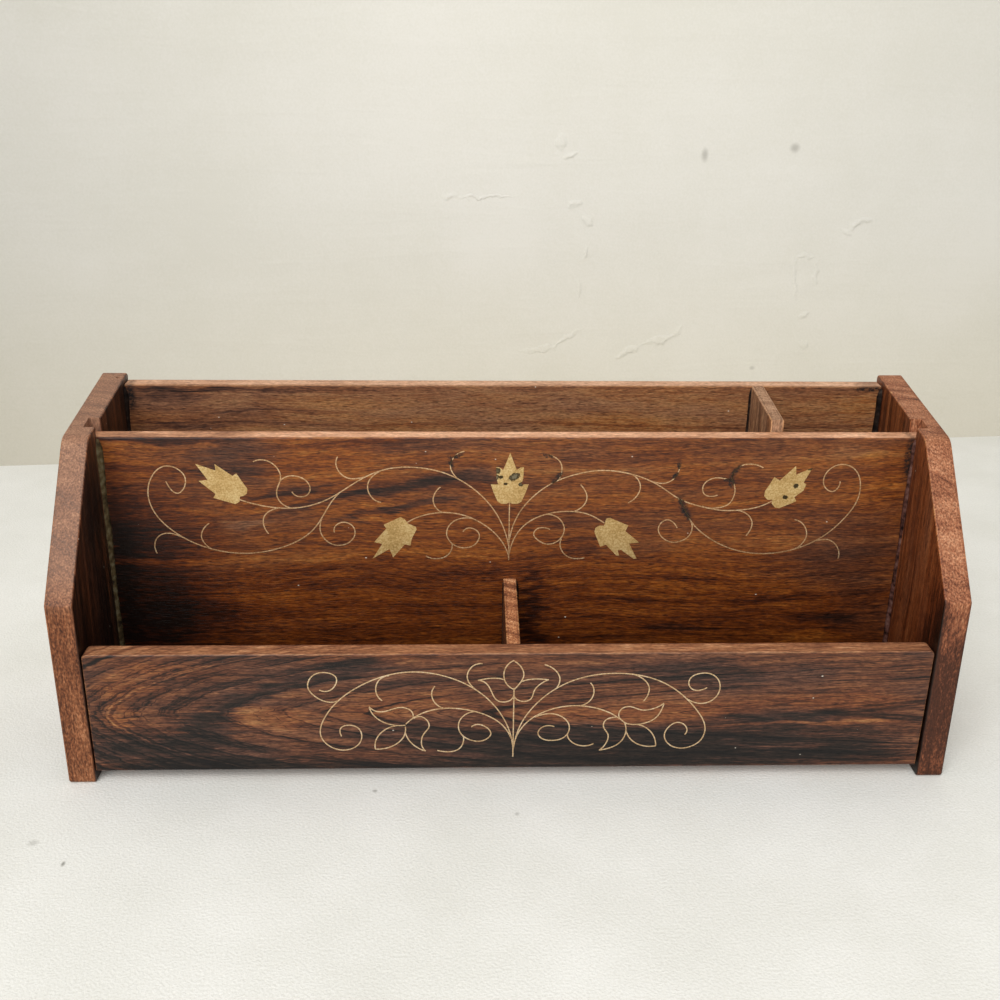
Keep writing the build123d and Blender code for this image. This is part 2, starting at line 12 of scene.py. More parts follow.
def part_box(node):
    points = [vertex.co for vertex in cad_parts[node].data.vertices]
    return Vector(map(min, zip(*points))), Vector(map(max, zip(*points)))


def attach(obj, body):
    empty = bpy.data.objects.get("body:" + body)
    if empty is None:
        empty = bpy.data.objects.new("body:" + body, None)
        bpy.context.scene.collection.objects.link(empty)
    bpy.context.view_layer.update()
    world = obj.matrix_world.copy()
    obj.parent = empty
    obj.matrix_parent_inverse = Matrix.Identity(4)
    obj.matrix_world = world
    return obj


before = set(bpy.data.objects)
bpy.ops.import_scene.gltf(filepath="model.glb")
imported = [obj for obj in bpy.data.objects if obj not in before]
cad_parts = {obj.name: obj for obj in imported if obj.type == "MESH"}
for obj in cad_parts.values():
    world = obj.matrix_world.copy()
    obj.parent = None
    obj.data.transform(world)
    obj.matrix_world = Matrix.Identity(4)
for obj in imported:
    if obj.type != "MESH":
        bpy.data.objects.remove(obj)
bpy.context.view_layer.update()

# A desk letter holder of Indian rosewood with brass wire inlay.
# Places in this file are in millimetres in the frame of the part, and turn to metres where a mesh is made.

MM = 0.001
LOG = logging.getLogger("letter_holder")
FAR = 100000.0

Tree = bpy.types.NodeTree
Source = Union[bpy.types.Node, bpy.types.NodeSocket]

MULTIPLY_ADD = {"operation": "MULTIPLY_ADD"}
MULTIPLY = {"operation": "MULTIPLY"}
ADD = {"operation": "ADD"}
SUBTRACT = {"operation": "SUBTRACT"}
ABSOLUTE = {"operation": "ABSOLUTE"}
SMOOTH = {"interpolation_type": "SMOOTHSTEP"}
BLEND = {"data_type": "RGBA"}
TINT = {"data_type": "RGBA", "blend_type": "MULTIPLY"}


def linear(code: str) -> tuple[float, float, float, float]:
    """Turns an sRGB hex value to the linear colour that a shader socket holds.

    Args:
        code: six hex digits, with or without a leading hash sign.

    Returns:
        Red, green, blue and an alpha of 1.
    """
    code = code.lstrip("#")
    parts = [int(code[i:i + 2], 16) / 255 for i in (0, 2, 4)]
    low = [c / 12.92 if c <= 0.04045 else ((c + 0.055) / 1.055) ** 2.4 for c in parts]
    return (low[0], low[1], low[2], 1.0)


def add_node(
    tree: Tree,
    kind: str,
    settings: Optional[Mapping[str, Any]] = None,
    inputs: Optional[Mapping[Any, Any]] = None,
    stops: Sequence[tuple[float, str]] = (),
) -> bpy.types.Node:
    """Adds one shader node, sets it up and links what feeds it.

    Args:
        tree: the node tree that gets the node.
        kind: the node's class name without its ShaderNode prefix.
        settings: the node's own properties.
        inputs: what each input gets, by name or place: a value, a socket, or a node for its first output.
        stops: place and hex colour of each stop, where the node is a colour ramp.

    Returns:
        The new node.
    """
    node = tree.nodes.new("ShaderNode" + kind)
    for name, value in (settings or {}).items():
        setattr(node, name, value)
    for key, value in (inputs or {}).items():
        if isinstance(value, bpy.types.Node):
            value = value.outputs[0]
        if isinstance(value, bpy.types.NodeSocket):
            tree.links.new(value, node.inputs[key])
        else:
            node.inputs[key].default_value = value
    for index, (place, code) in enumerate(stops):
        elements = node.color_ramp.elements
        element = elements[index] if index < 2 else elements.new(place)
        element.position = place
        element.color = linear(code)
    return node


def new_material(name: str) -> bpy.types.Material:
    """Makes an empty node material with the given name.

    Args:
        name: the material's name.

    Returns:
        The material.
    """
    material = bpy.data.materials.new(name)
    material.use_nodes = True
    material.node_tree.nodes.clear()
    return material


def millimetres(tree: Tree) -> Source:
    """Gives the point on a piece in millimetres, in the frame of the part."""
    here = add_node(tree, "TexCoord").outputs["Object"]
    return add_node(tree, "VectorMath", {"operation": "SCALE"}, {0: here, "Scale": 1 / MM})


def add_piece(name: str, shape: bmesh.types.BMesh, material: bpy.types.Material) -> bpy.types.Object:
    """Turns a shape in metres into an object of the scene, and frees the shape.

    Args:
        name: the object's name.
        shape: its form.
        material: its finish.

    Returns:
        The new object.
    """
    mesh = bpy.data.meshes.new(name)
    shape.to_mesh(mesh)
    shape.free()
    mesh.materials.append(material)
    piece = bpy.data.objects.new(name, mesh)
    bpy.context.scene.collection.objects.link(piece)
    return piece


def dress(node: str, material: bpy.types.Material) -> None:
    """Gives a piece of the frame its finish.

    Args:
        node: the piece's name in the frame.
        material: the finish.
    """
    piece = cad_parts[node]
    if not piece.material_slots:
        piece.data.materials.append(material)
    for slot in piece.material_slots:
        slot.material = material
    LOG.info("%s wears %s", node, material.name)


class Lay(Enum):
    """How a board lies, as the order of the axes for along the grain, through and across it."""

    PANEL = (0, 1, 2)
    UPRIGHT = (2, 0, 1)
    FLOOR = (0, 2, 1)


@dataclass(frozen=True)
class Streak:
    """One streak or patch in a board's figure, in millimetres on the board's face.

    along and across give its middle, tilt its slope in degrees, tone how much lighter it is than the
    wood round it, and warmth how much more orange.
    """

    along: float
    across: float
    half_length: float
    half_width: float
    tilt: float = 0.0
    tone: float = 0.0
    warmth: float = 0.0

    def reach(self, tree: Tree, place: Source, flat: bool = False) -> Source:
        """Measures how far out from the streak's middle a point lies.

        Args:
            tree: the node tree.
            place: the point in millimetres.
            flat: whether the face lies flat, as a table does, and doesn't stand.

        Returns:
            The distance as a share of the streak's size, 1 on its rim.
        """
        turn = -math.radians(self.tilt)
        local = add_node(tree, "Mapping", {"vector_type": "TEXTURE"}, {
            0: place,
            "Location": (self.along, self.across, 0.0) if flat else (self.along, 0.0, self.across),
            "Rotation": (0.0, 0.0, -turn) if flat else (0.0, turn, 0.0),
            "Scale": (self.half_length, self.half_width, FAR) if flat else (self.half_length, FAR, self.half_width),
        })
        return add_node(tree, "VectorMath", {"operation": "LENGTH"}, {0: local}).outputs["Value"]


def streaks(*rows: tuple[float, ...]) -> tuple[Streak, ...]:
    """Makes a streak of each row, whose values are in the order of the streak's fields."""
    return tuple(Streak(*row) for row in rows)


@dataclass(frozen=True)
class Arch:
    """The arched figure of a flat sawn board: nested tongues that open to the right.

    pitch is the distance from one dark ring to the next where the tongues start, and phase the ring
    number of the first dark ring.
    """

    start: float = -138.0
    axis: float = 27.0
    bluntness: float = 2.1
    power: float = 1.42
    reach: float = 62.0
    drift: float = 0.08
    pitch: float = 11.05
    phase: float = -73.6
    gain: float = 0.32


@dataclass(frozen=True)
class Rosewood:
    """Sheesham, oiled and thinly varnished: dark bands on brown, long pores, rubbed pale on its edges.

    cool and warm hold the same five steps from the darkest heartwood to the lightest, once as purple
    brown and once as orange brown. worn holds the rubbed edges, from grime to bare wood, weathered how
    grey they are above the front edge, and outer_tone how much lighter the board is on its first face,
    which lifts that face where the tone is set low for painted shade on the other face.
    """

    name: str
    lay: Lay
    cool: tuple[str, ...] = ("130f0e", "2b1f1a", "4a3026", "6c4735", "8d634b")
    warm: tuple[str, ...] = ("1a0f09", "422313", "703f22", "925a32", "b07e4e")
    worn: tuple[str, ...] = ("6b4532", "9a6a4e", "b98663", "d3a483")
    tone: float = 0.5
    warmth: float = 0.5
    band_mm: float = 6.0
    band_gain: float = 1.3
    line_gain: float = 0.25
    drift_gain: float = 1.1
    fibre_gain: float = 0.5
    thread_gain: float = 0.35
    pore_gain: float = 0.6
    slope: float = 0.0
    grit_gain: float = 0.42
    ripple_mm: float = 0.6
    crimp_mm: float = 0.16
    wander_mm: float = 4.0
    feather_mm: float = 2.2
    arris_gain: float = 0.9
    stipple_mm: tuple[float, float, float] = (1.3, 0.55, 0.5)
    weathered: float = 0.0
    outer_tone: float = 0.0
    edge_tone: float = 0.5
    roughness: float = 0.42
    coat: float = 0.2
    seed: float = 0.0
    arch: Optional[Arch] = None
    streaks: tuple[Streak, ...] = ()
    lac: tuple[Streak, ...] = ()

    def material(self, node: str) -> bpy.types.Material:
        """Builds the finish for one board.

        Args:
            node: the board's name in the frame, which gives the place of its faces.

        Returns:
            The material.
        """
        low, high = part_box(node)
        thin = self.lay.value[1]
        middle = (low[thin] + high[thin]) / 2 / MM
        half = (high[thin] - low[thin]) / 2 / MM
        material = new_material(self.name)
        tree = material.node_tree
        place = self._place(tree)
        combed = self._combed(tree, place)
        frayed = self._frayed(tree, combed)
        inset = self._inset(tree, place, middle, half)
        fibre = self._noise(tree, combed, (7.0, 0.7, 0.5), 2.0, 3.1)
        pores = add_node(tree, "MapRange", SMOOTH, {
            0: self._noise(tree, combed, (3.4, 0.4, 0.32), 0.0, 11.7), 1: 0.58, 2: 0.72,
        })
        rings = self._rings(tree, combed, low[thin] / MM)
        lines = self._lines(tree, combed, rings)
        bands = self._bands(tree, rings)
        tongues = self._latewood(tree, combed, rings, self.arch) if self.arch else None
        tone, warmth = self._figure(tree, combed, frayed, (bands, fibre, lines, tongues), inset)
        # Lifts the first face back where the board's tone is set low for painted shade on its other face.
        if self.outer_tone:
            through = add_node(tree, "SeparateXYZ", {}, {0: place}).outputs[1]
            lift = add_node(tree, "MapRange", {}, {
                0: through, 1: low[thin] / MM + 0.4, 2: low[thin] / MM + 0.7, 3: self.outer_tone, 4: 0.0,
            })
            tone = add_node(tree, "Math", ADD, {0: tone, 1: lift})
        heart = self._heartwood(tree, tone, warmth, pores)
        edge = add_node(tree, "MapRange", SMOOTH, {0: inset, 1: 0.2, 2: 0.62, 3: 0.0, 4: 1.0})
        rubbed = self._rubbed(tree, place, tone)
        body = add_node(tree, "Mix", BLEND, {0: edge, 6: heart, 7: rubbed}).outputs[2]
        speck = add_node(tree, "Math", MULTIPLY_ADD, {
            0: self._noise(tree, place, (1.6, 0.6, 0.42), 1.0, 77.0), 1: 1.5, 2: 0.27,
        })
        body = add_node(tree, "Mix", TINT, {0: 1.0, 6: body, 7: speck}).outputs[2]
        body = self._dusted(tree, place, body)
        body = self._blackened(tree, place, body)
        shine = add_node(tree, "Math", MULTIPLY_ADD, {0: fibre, 1: 0.3, 2: self.roughness - 0.15})
        shine = add_node(tree, "Math", MULTIPLY_ADD, {0: edge, 1: 0.22, 2: shine})
        relief = add_node(tree, "Math", MULTIPLY_ADD, {0: pores, 1: -0.8, 2: fibre})
        bump = add_node(tree, "Bump", {}, {"Strength": 0.35, "Distance": 0.00016, "Height": relief})
        shader = add_node(tree, "BsdfPrincipled", {}, {
            "Base Color": body, "Roughness": shine, "Normal": bump, "IOR": 1.48,
            "Specular IOR Level": 0.24, "Coat Weight": self.coat, "Coat Roughness": 0.3,
        })
        add_node(tree, "OutputMaterial", {}, {"Surface": shader})
        return material

    def _place(self, tree: Tree) -> Source:
        """Gives the point in millimetres as along the grain, through the board and across the grain.

        Args:
            tree: the node tree.

        Returns:
            The point.
        """
        split = add_node(tree, "SeparateXYZ", {}, {0: millimetres(tree)})
        along, through, across = self.lay.value
        return add_node(tree, "CombineXYZ", {}, {
            0: split.outputs[along], 1: split.outputs[through], 2: split.outputs[across],
        })

    def _noise(
        self,
        tree: Tree,
        place: Source,
        grain: tuple[float, float, float],
        detail: float,
        offset: float,
    ) -> Source:
        """Adds a noise whose blobs have the given size.

        Args:
            tree: the node tree.
            place: the point in millimetres.
            grain: length of a blob along the grain, through the board and across, in millimetres.
            detail: octaves of finer noise.
            offset: shift that keeps the patterns of one board apart.

        Returns:
            The noise from 0 to 1.
        """
        shift = self.seed * 7.3 + offset
        turned = add_node(tree, "Mapping", {}, {
            0: place, "Location": (shift, shift * 1.7, shift * 0.6),
            "Scale": (1 / grain[0], 1 / grain[1], 1 / grain[2]),
        })
        return add_node(tree, "TexNoise", {}, {"Vector": turned, "Scale": 1.0, "Detail": detail, "Roughness": 0.58})

    def _combed(self, tree: Tree, place: Source) -> Source:
        """Bends the fibres: a slow wander over centimetres, a ripple, and the crimp of crossed grain.

        Args:
            tree: the node tree.
            place: the point in millimetres.

        Returns:
            The point, moved across the grain.
        """
        wander = self._noise(tree, place, (85.0, 60.0, 42.0), 1.0, 1.3)
        ripple = self._noise(tree, place, (19.0, 9.0, 5.0), 1.0, 5.9)
        crimp = self._noise(tree, place, (3.4, 3.0, 2.2), 1.0, 71.2)
        drop = -self.wander_mm - self.ripple_mm - self.crimp_mm
        for bend, reach in ((wander, self.wander_mm), (crimp, self.crimp_mm), (ripple, self.ripple_mm)):
            drop = add_node(tree, "Math", MULTIPLY_ADD, {0: bend, 1: 2 * reach, 2: drop})
        shift = add_node(tree, "CombineXYZ", {}, {2: drop})
        return add_node(tree, "VectorMath", ADD, {0: place, 1: shift})

    def _frayed(self, tree: Tree, combed: Source) -> Source:
        """Breaks the ends of the streaks into separate fibres.

        Args:
            tree: the node tree.
            combed: the point with its fibres bent.

        Returns:
            The point that the streaks read.
        """
        tufts = self._noise(tree, combed, (20.0, 12.0, 1.3), 3.0, 21.4)
        clouds = self._noise(tree, combed, (16.0, 12.0, 7.0), 2.0, 33.8)
        pull = add_node(tree, "Math", MULTIPLY_ADD, {0: tufts, 1: 30.0, 2: -15.0})
        lift = add_node(tree, "Math", MULTIPLY_ADD, {0: clouds, 1: 5.0, 2: -2.5})
        shift = add_node(tree, "CombineXYZ", {}, {0: pull, 2: lift})
        return add_node(tree, "VectorMath", ADD, {0: combed, 1: shift})

    def _inset(self, tree: Tree, place: Source, middle: float, half: float) -> Source:
        """Measures how far a point lies in from the nearer face of the board.

        Args:
            tree: the node tree.
            place: the point in millimetres.
            middle: place of the board's middle plane.
            half: half its thickness.

        Returns:
            The distance in millimetres, 0 on a face.
        """
        through = add_node(tree, "SeparateXYZ", {}, {0: place}).outputs[1]
        centred = add_node(tree, "Math", SUBTRACT, {0: through, 1: middle})
        away = add_node(tree, "Math", ABSOLUTE, {0: centred})
        return add_node(tree, "Math", SUBTRACT, {0: half, 1: away})

    def _rings(self, tree: Tree, combed: Source, face: float) -> Source:
        """Gives a number that is the same all along one growth ring.

        Args:
            tree: the node tree.
            combed: the point with its fibres bent.
            face: place of the board's first face through its thickness, from which the rings tip.

        Returns:
            The number, in millimetres from ring to ring.
        """
        split = add_node(tree, "SeparateXYZ", {}, {0: combed})
        along, through, across = split.outputs
        steps = self._noise(tree, combed, (9.0, 8.0, 1.25), 2.0, 83.0)
        feather = add_node(tree, "Math", MULTIPLY_ADD, {0: steps, 1: 2 * self.feather_mm, 2: -self.feather_mm})
        along = add_node(tree, "Math", ADD, {0: along, 1: feather})
        through = add_node(tree, "Math", SUBTRACT, {0: through, 1: face})
        tipped = add_node(tree, "Math", MULTIPLY_ADD, {0: through, 1: 0.45, 2: across})
        if self.arch is None:
            return add_node(tree, "Math", MULTIPLY_ADD, {0: along, 1: -self.slope, 2: tipped})
        arch = self.arch
        gone = add_node(tree, "Math", MULTIPLY_ADD, {0: along, 1: -1 / arch.reach, 2: arch.start / arch.reach})
        fade = add_node(tree, "Math", {"operation": "EXPONENT"}, {0: gone})
        run = add_node(tree, "Math", MULTIPLY, {0: along, 1: arch.drift})
        run = add_node(tree, "Math", MULTIPLY_ADD, {0: fade, 1: -arch.reach, 2: run})
        rise = add_node(tree, "Math", SUBTRACT, {0: tipped, 1: arch.axis})
        rise = add_node(tree, "Math", {"operation": "POWER"}, {
            0: add_node(tree, "Math", ABSOLUTE, {0: rise}), 1: arch.power,
        })
        return add_node(tree, "Math", MULTIPLY_ADD, {0: rise, 1: -1 / arch.bluntness, 2: run})

    def _bands(self, tree: Tree, rings: Source) -> Source:
        """Gives the broad light and dark bands of the growth rings, from 0 to 1."""
        beat = add_node(tree, "Math", MULTIPLY_ADD, {0: rings, 1: 1 / self.band_mm, 2: self.seed})
        return add_node(tree, "TexNoise", {"noise_dimensions": "1D"}, {
            "W": beat, "Scale": 1.0, "Detail": 3.0, "Roughness": 0.6,
        })

    def _lines(self, tree: Tree, combed: Source, rings: Source) -> Source:
        """Gives the thin dark lines of late wood, which come and go along the board.

        Args:
            tree: the node tree.
            combed: the point with its fibres bent.
            rings: the number of the growth ring.

        Returns:
            1 on a line and 0 beside it.
        """
        beat = add_node(tree, "Math", MULTIPLY_ADD, {0: rings, 1: 1.15 / self.band_mm, 2: self.seed + 40.0})
        wave = add_node(tree, "TexNoise", {"noise_dimensions": "1D"}, {
            "W": beat, "Scale": 1.0, "Detail": 1.5, "Roughness": 0.6,
        })
        level = add_node(tree, "Math", SUBTRACT, {0: wave, 1: 0.5})
        level = add_node(tree, "Math", ABSOLUTE, {0: level})
        thin = add_node(tree, "MapRange", SMOOTH, {0: level, 1: 0.0, 2: 0.045, 3: 1.0, 4: 0.0})
        presence = add_node(tree, "MapRange", SMOOTH, {
            0: self._noise(tree, combed, (30.0, 20.0, 9.0), 1.0, 8.2), 1: 0.32, 2: 0.5,
        })
        return add_node(tree, "Math", MULTIPLY, {0: thin, 1: presence})

    def _latewood(self, tree: Tree, combed: Source, rings: Source, arch: Arch) -> Source:
        """Gives the tongues' dark rings: a sharp line, pale behind it and darker toward the next.

        Args:
            tree: the node tree.
            combed: the point with its fibres bent.
            rings: the number of the growth ring.
            arch: the figure's shape.

        Returns:
            How much darker the wood is, below 0 where it is lighter.
        """
        stray = self._noise(tree, combed, (20.0, 9.0, 6.0), 2.0, 66.0)
        beat = add_node(tree, "Math", MULTIPLY_ADD, {
            0: rings, 1: 1 / arch.pitch, 2: -arch.phase / arch.pitch - 0.22,
        })
        beat = add_node(tree, "Math", MULTIPLY_ADD, {0: stray, 1: 0.44, 2: beat})
        saw = add_node(tree, "Math", {"operation": "FRACT"}, {0: beat})
        near = add_node(tree, "Math", {"operation": "PINGPONG"}, {0: beat, 1: 0.5})
        line = add_node(tree, "MapRange", SMOOTH, {0: near, 1: 0.01, 2: 0.075, 3: 1.0, 4: 0.0})
        shade = add_node(tree, "Math", MULTIPLY_ADD, {0: saw, 1: 0.75, 2: -0.34})
        dark = add_node(tree, "Math", ADD, {0: line, 1: shade})
        presence = add_node(tree, "MapRange", {}, {
            0: self._noise(tree, combed, (26.0, 20.0, 8.0), 1.0, 38.2), 1: 0.34, 2: 0.56, 3: 0.25, 4: 1.0,
        })
        along = add_node(tree, "SeparateXYZ", {}, {0: combed})
        fade = add_node(tree, "MapRange", SMOOTH, {0: along, 1: -60.0, 2: 30.0, 3: 1.0, 4: 0.45})
        dark = add_node(tree, "Math", MULTIPLY, {0: dark, 1: presence})
        return add_node(tree, "Math", MULTIPLY, {0: dark, 1: fade})

    def _mask(self, tree: Tree, place: Source, streak: Streak, soft: float) -> Source:
        """Marks where one streak lies.

        Args:
            tree: the node tree.
            place: the point in millimetres.
            streak: the streak.
            soft: share of its size over which it fades out.

        Returns:
            1 inside the streak and 0 outside.
        """
        reach = streak.reach(tree, place)
        return add_node(tree, "MapRange", SMOOTH, {0: reach, 1: 1 - soft, 2: 1 + soft, 3: 1.0, 4: 0.0})

    def _figure(
        self,
        tree: Tree,
        combed: Source,
        frayed: Source,
        grain: tuple[Optional[Source], ...],
        inset: Source,
    ) -> tuple[Source, Source]:
        """Adds up the board's light and dark and its shift from purple to orange.

        Args:
            tree: the node tree.
            combed: the point with its fibres bent.
            frayed: the point that the streaks read.
            grain: the broad bands, the fine fibres, the thin dark lines and any tongues.
            inset: distance in from the nearer face.

        Returns:
            The tone, 0 dark and 1 light, and the warmth, 0 purple and 1 orange.
        """
        drift = self._noise(tree, combed, (58.0, 20.0, 3.6), 4.0, 14.9)
        glow = self._noise(tree, combed, (40.0, 20.0, 9.0), 3.0, 27.5)
        thread = self._noise(tree, combed, (34.0, 9.0, 1.25), 2.0, 92.3)
        grit = self._noise(tree, combed, (3.8, 0.6, 0.4), 1.0, 57.7)
        bands, fibre, lines, tongues = grain
        mean = (self.band_gain + self.drift_gain + self.fibre_gain + self.thread_gain + self.grit_gain) / 2
        parts = [
            (bands, self.band_gain), (drift, self.drift_gain), (fibre, self.fibre_gain), (thread, self.thread_gain),
            (grit, self.grit_gain), (lines, -self.line_gain),
        ]
        if tongues and self.arch:
            parts.append((tongues, -self.arch.gain))
        tone = self.tone - mean
        for part, gain in parts:
            tone = add_node(tree, "Math", MULTIPLY_ADD, {0: part, 1: gain, 2: tone})
        warmth = add_node(tree, "Math", MULTIPLY_ADD, {0: glow, 1: 1.8, 2: self.warmth - 0.9})
        for streak in self.streaks:
            mask = self._mask(tree, frayed, streak, 0.5)
            tone = add_node(tree, "Math", MULTIPLY_ADD, {0: mask, 1: streak.tone, 2: tone})
            warmth = add_node(tree, "Math", MULTIPLY_ADD, {0: mask, 1: streak.warmth, 2: warmth})
        rub = add_node(tree, "ValToRGB", {}, {0: add_node(tree, "Math", MULTIPLY, {0: inset, 1: 0.5})}, (
            (0.0, "bcbcbc"), (0.06, "f0f0f0"), (0.16, "ffffff"), (0.3, "8c8c8c"), (0.42, "828282"), (0.6, "bcbcbc"),
        ))
        rub = add_node(tree, "Math", SUBTRACT, {0: rub, 1: 0.5})
        tone = add_node(tree, "Math", MULTIPLY_ADD, {0: rub, 1: self.arris_gain, 2: tone})
        warmth = add_node(tree, "Clamp", {}, {0: warmth})
        return tone, warmth

    def _heartwood(self, tree: Tree, tone: Source, warmth: Source, pores: Source) -> Source:
        """Colours the faces of the board and darkens its open pores.

        Args:
            tree: the node tree.
            tone: how light the wood is, 0 dark and 1 light.
            warmth: its shift from purple, 0, to orange, 1.
            pores: where the pores are, from 0 to 1.

        Returns:
            The colour of the faces.
        """
        places = (0.0, 0.27, 0.5, 0.74, 1.0)
        cool = add_node(tree, "ValToRGB", {}, {0: tone}, tuple(zip(places, self.cool)))
        warm = add_node(tree, "ValToRGB", {}, {0: tone}, tuple(zip(places, self.warm)))
        wood = add_node(tree, "Mix", BLEND, {0: warmth, 6: cool, 7: warm}).outputs[2]
        hollow = add_node(tree, "Math", MULTIPLY, {0: pores, 1: self.pore_gain})
        return add_node(tree, "Mix", TINT, {0: hollow, 6: wood, 7: linear("6a4a3c")}).outputs[2]

    def _rubbed(self, tree: Tree, place: Source, tone: Source) -> Source:
        """Colours the edges, where hands have rubbed the varnish off and dirt sits in the open grain.

        Args:
            tree: the node tree.
            place: the point in millimetres.
            tone: how light the wood is, 0 dark and 1 light.

        Returns:
            The colour of the edges.
        """
        stipple = self._noise(tree, place, self.stipple_mm, 2.0, 44.1)
        patch = self._noise(tree, place, (26.0, 30.0, 5.0), 4.0, 51.6)
        level = self.edge_tone - 0.35 - 1.02
        for part, gain in ((tone, 0.7), (stipple, 1.25), (patch, 0.8)):
            level = add_node(tree, "Math", MULTIPLY_ADD, {0: part, 1: gain, 2: level})
        worn = add_node(tree, "ValToRGB", {}, {0: level}, tuple(zip((0.1, 0.4, 0.65, 0.95), self.worn)))
        if not self.weathered:
            return worn
        height = add_node(tree, "SeparateXYZ", {}, {0: place})
        grey = add_node(tree, "MapRange", SMOOTH, {0: height, 1: 62.0, 2: 80.0, 3: 0.0, 4: self.weathered})
        return add_node(tree, "Mix", BLEND, {0: grey, 6: worn, 7: linear("8d7464")}).outputs[2]

    def _dusted(self, tree: Tree, place: Source, body: Source) -> Source:
        """Scatters a few grains of pale dust, up to half a millimetre wide and centimetres apart.

        Args:
            tree: the node tree.
            place: the point in millimetres.
            body: the board's colour under it.

        Returns:
            The colour with the dust on it.
        """
        split = add_node(tree, "SeparateXYZ", {}, {0: place})
        flat = add_node(tree, "CombineXYZ", {}, {0: split.outputs[0], 1: split.outputs[2]})
        cells = add_node(tree, "Mapping", {}, {
            0: flat, "Scale": (1 / 24, 1 / 17, 1.0), "Location": (self.seed, 3.0, 0.0),
        })
        spots = add_node(tree, "TexVoronoi", {"voronoi_dimensions": "2D"}, {"Vector": cells, "Scale": 1.0})
        chance = add_node(tree, "SeparateColor", {}, {0: spots.outputs["Color"]})
        size = add_node(tree, "Math", MULTIPLY_ADD, {0: chance, 1: 0.03, 2: -0.014})
        dot = add_node(tree, "Math", SUBTRACT, {0: size, 1: spots.outputs["Distance"]})
        amount = add_node(tree, "MapRange", {}, {0: dot, 1: -0.002, 2: 0.006})
        amount = add_node(tree, "Math", MULTIPLY, {0: amount, 1: 0.75})
        return add_node(tree, "Mix", BLEND, {0: amount, 6: body, 7: linear("cfc6b6")}).outputs[2]

    def _blackened(self, tree: Tree, place: Source, body: Source) -> Source:
        """Lays the black lac that filled gaps round the wires and in the corners.

        Args:
            tree: the node tree.
            place: the point in millimetres.
            body: the board's colour under it.

        Returns:
            The colour with the lac on it.
        """
        if not self.lac:
            return body
        crumbs = self._noise(tree, place, (0.9, 0.9, 0.8), 2.0, 61.0)
        grit = add_node(tree, "MapRange", {}, {0: crumbs, 1: 0.36, 2: 0.58, 3: 0.35, 4: 1.0})
        push = add_node(tree, "Math", MULTIPLY_ADD, {0: crumbs, 1: 1.6, 2: -0.8})
        shift = add_node(tree, "CombineXYZ", {}, {0: push, 2: push})
        ragged = add_node(tree, "VectorMath", ADD, {0: place, 1: shift})
        for spot in self.lac:
            mask = self._mask(tree, ragged, spot, 0.5)
            cover = add_node(tree, "Math", MULTIPLY, {0: mask, 1: grit})
            body = add_node(tree, "Mix", BLEND, {0: cover, 6: body, 7: linear("15100f")}).outputs[2]
        return body


@dataclass(frozen=True)
class Brass:
    """Brass filed flush with the wood: matt pale gold, finely scratched, browned where lac covers it."""

    name: str
    dull: str = "8d6f3c"
    plain: str = "c9a65e"
    bright: str = "e6cd8c"
    roughness: float = 0.5
    lac: tuple[Streak, ...] = ()

    def material(self) -> bpy.types.Material:
        """Builds the finish.

        Returns:
            The material.
        """
        material = new_material(self.name)
        tree = material.node_tree
        place = millimetres(tree)
        speckle = add_node(tree, "TexNoise", {}, {"Vector": place, "Scale": 1.7, "Detail": 2.0})
        strokes = add_node(tree, "Mapping", {}, {
            0: place, "Rotation": (0.0, math.radians(38), 0.0), "Scale": (0.2, 1.0, 2.4),
        })
        strokes = add_node(tree, "TexNoise", {}, {"Vector": strokes, "Scale": 1.0, "Detail": 2.0})
        tarnish = add_node(tree, "TexNoise", {}, {"Vector": place, "Scale": 0.16, "Detail": 2.0})
        level = -0.9
        for part, gain in ((speckle, 1.5), (strokes, 0.5), (tarnish, 0.8)):
            level = add_node(tree, "Math", MULTIPLY_ADD, {0: part, 1: gain, 2: level})
        metal = add_node(tree, "ValToRGB", {}, {0: level}, (
            (0.12, self.dull), (0.5, self.plain), (0.9, self.bright),
        ))
        for spot in self.lac:
            metal = self._stained(tree, place, speckle, metal, spot)
        shine = add_node(tree, "Math", MULTIPLY_ADD, {0: speckle, 1: 0.24, 2: self.roughness - 0.12})
        bump = add_node(tree, "Bump", {}, {"Strength": 0.25, "Distance": 0.0001, "Height": strokes})
        shader = add_node(tree, "BsdfPrincipled", {}, {
            "Base Color": metal, "Metallic": 0.85, "Roughness": shine, "Normal": bump,
        })
        add_node(tree, "OutputMaterial", {}, {"Surface": shader})
        return material

    def _stained(self, tree: Tree, place: Source, speckle: Source, metal: Source, spot: Streak) -> Source:
        """Lays one patch of lac on the metal, nearly black at its rim and greyer where it has worn thin.

        Args:
            tree: the node tree.
            place: the point in millimetres.
            speckle: the fine noise that frays the rim.
            metal: the colour under the patch.
            spot: where the patch lies; its tone is how far its middle has worn.

        Returns:
            The colour with the patch on it.
        """
        reach = add_node(tree, "Math", MULTIPLY_ADD, {0: speckle, 1: 0.9, 2: spot.reach(tree, place)})
        cover = add_node(tree, "MapRange", SMOOTH, {0: reach, 1: 1.25, 2: 1.6, 3: 0.94, 4: 0.0})
        worn = add_node(tree, "MapRange", SMOOTH, {0: reach, 1: 0.7, 2: 1.25, 3: spot.tone, 4: 0.0})
        lac = add_node(tree, "Mix", BLEND, {0: worn, 6: linear("2a2113"), 7: linear("827c66")}).outputs[2]
        return add_node(tree, "Mix", BLEND, {0: cover, 6: metal, 7: lac}).outputs[2]


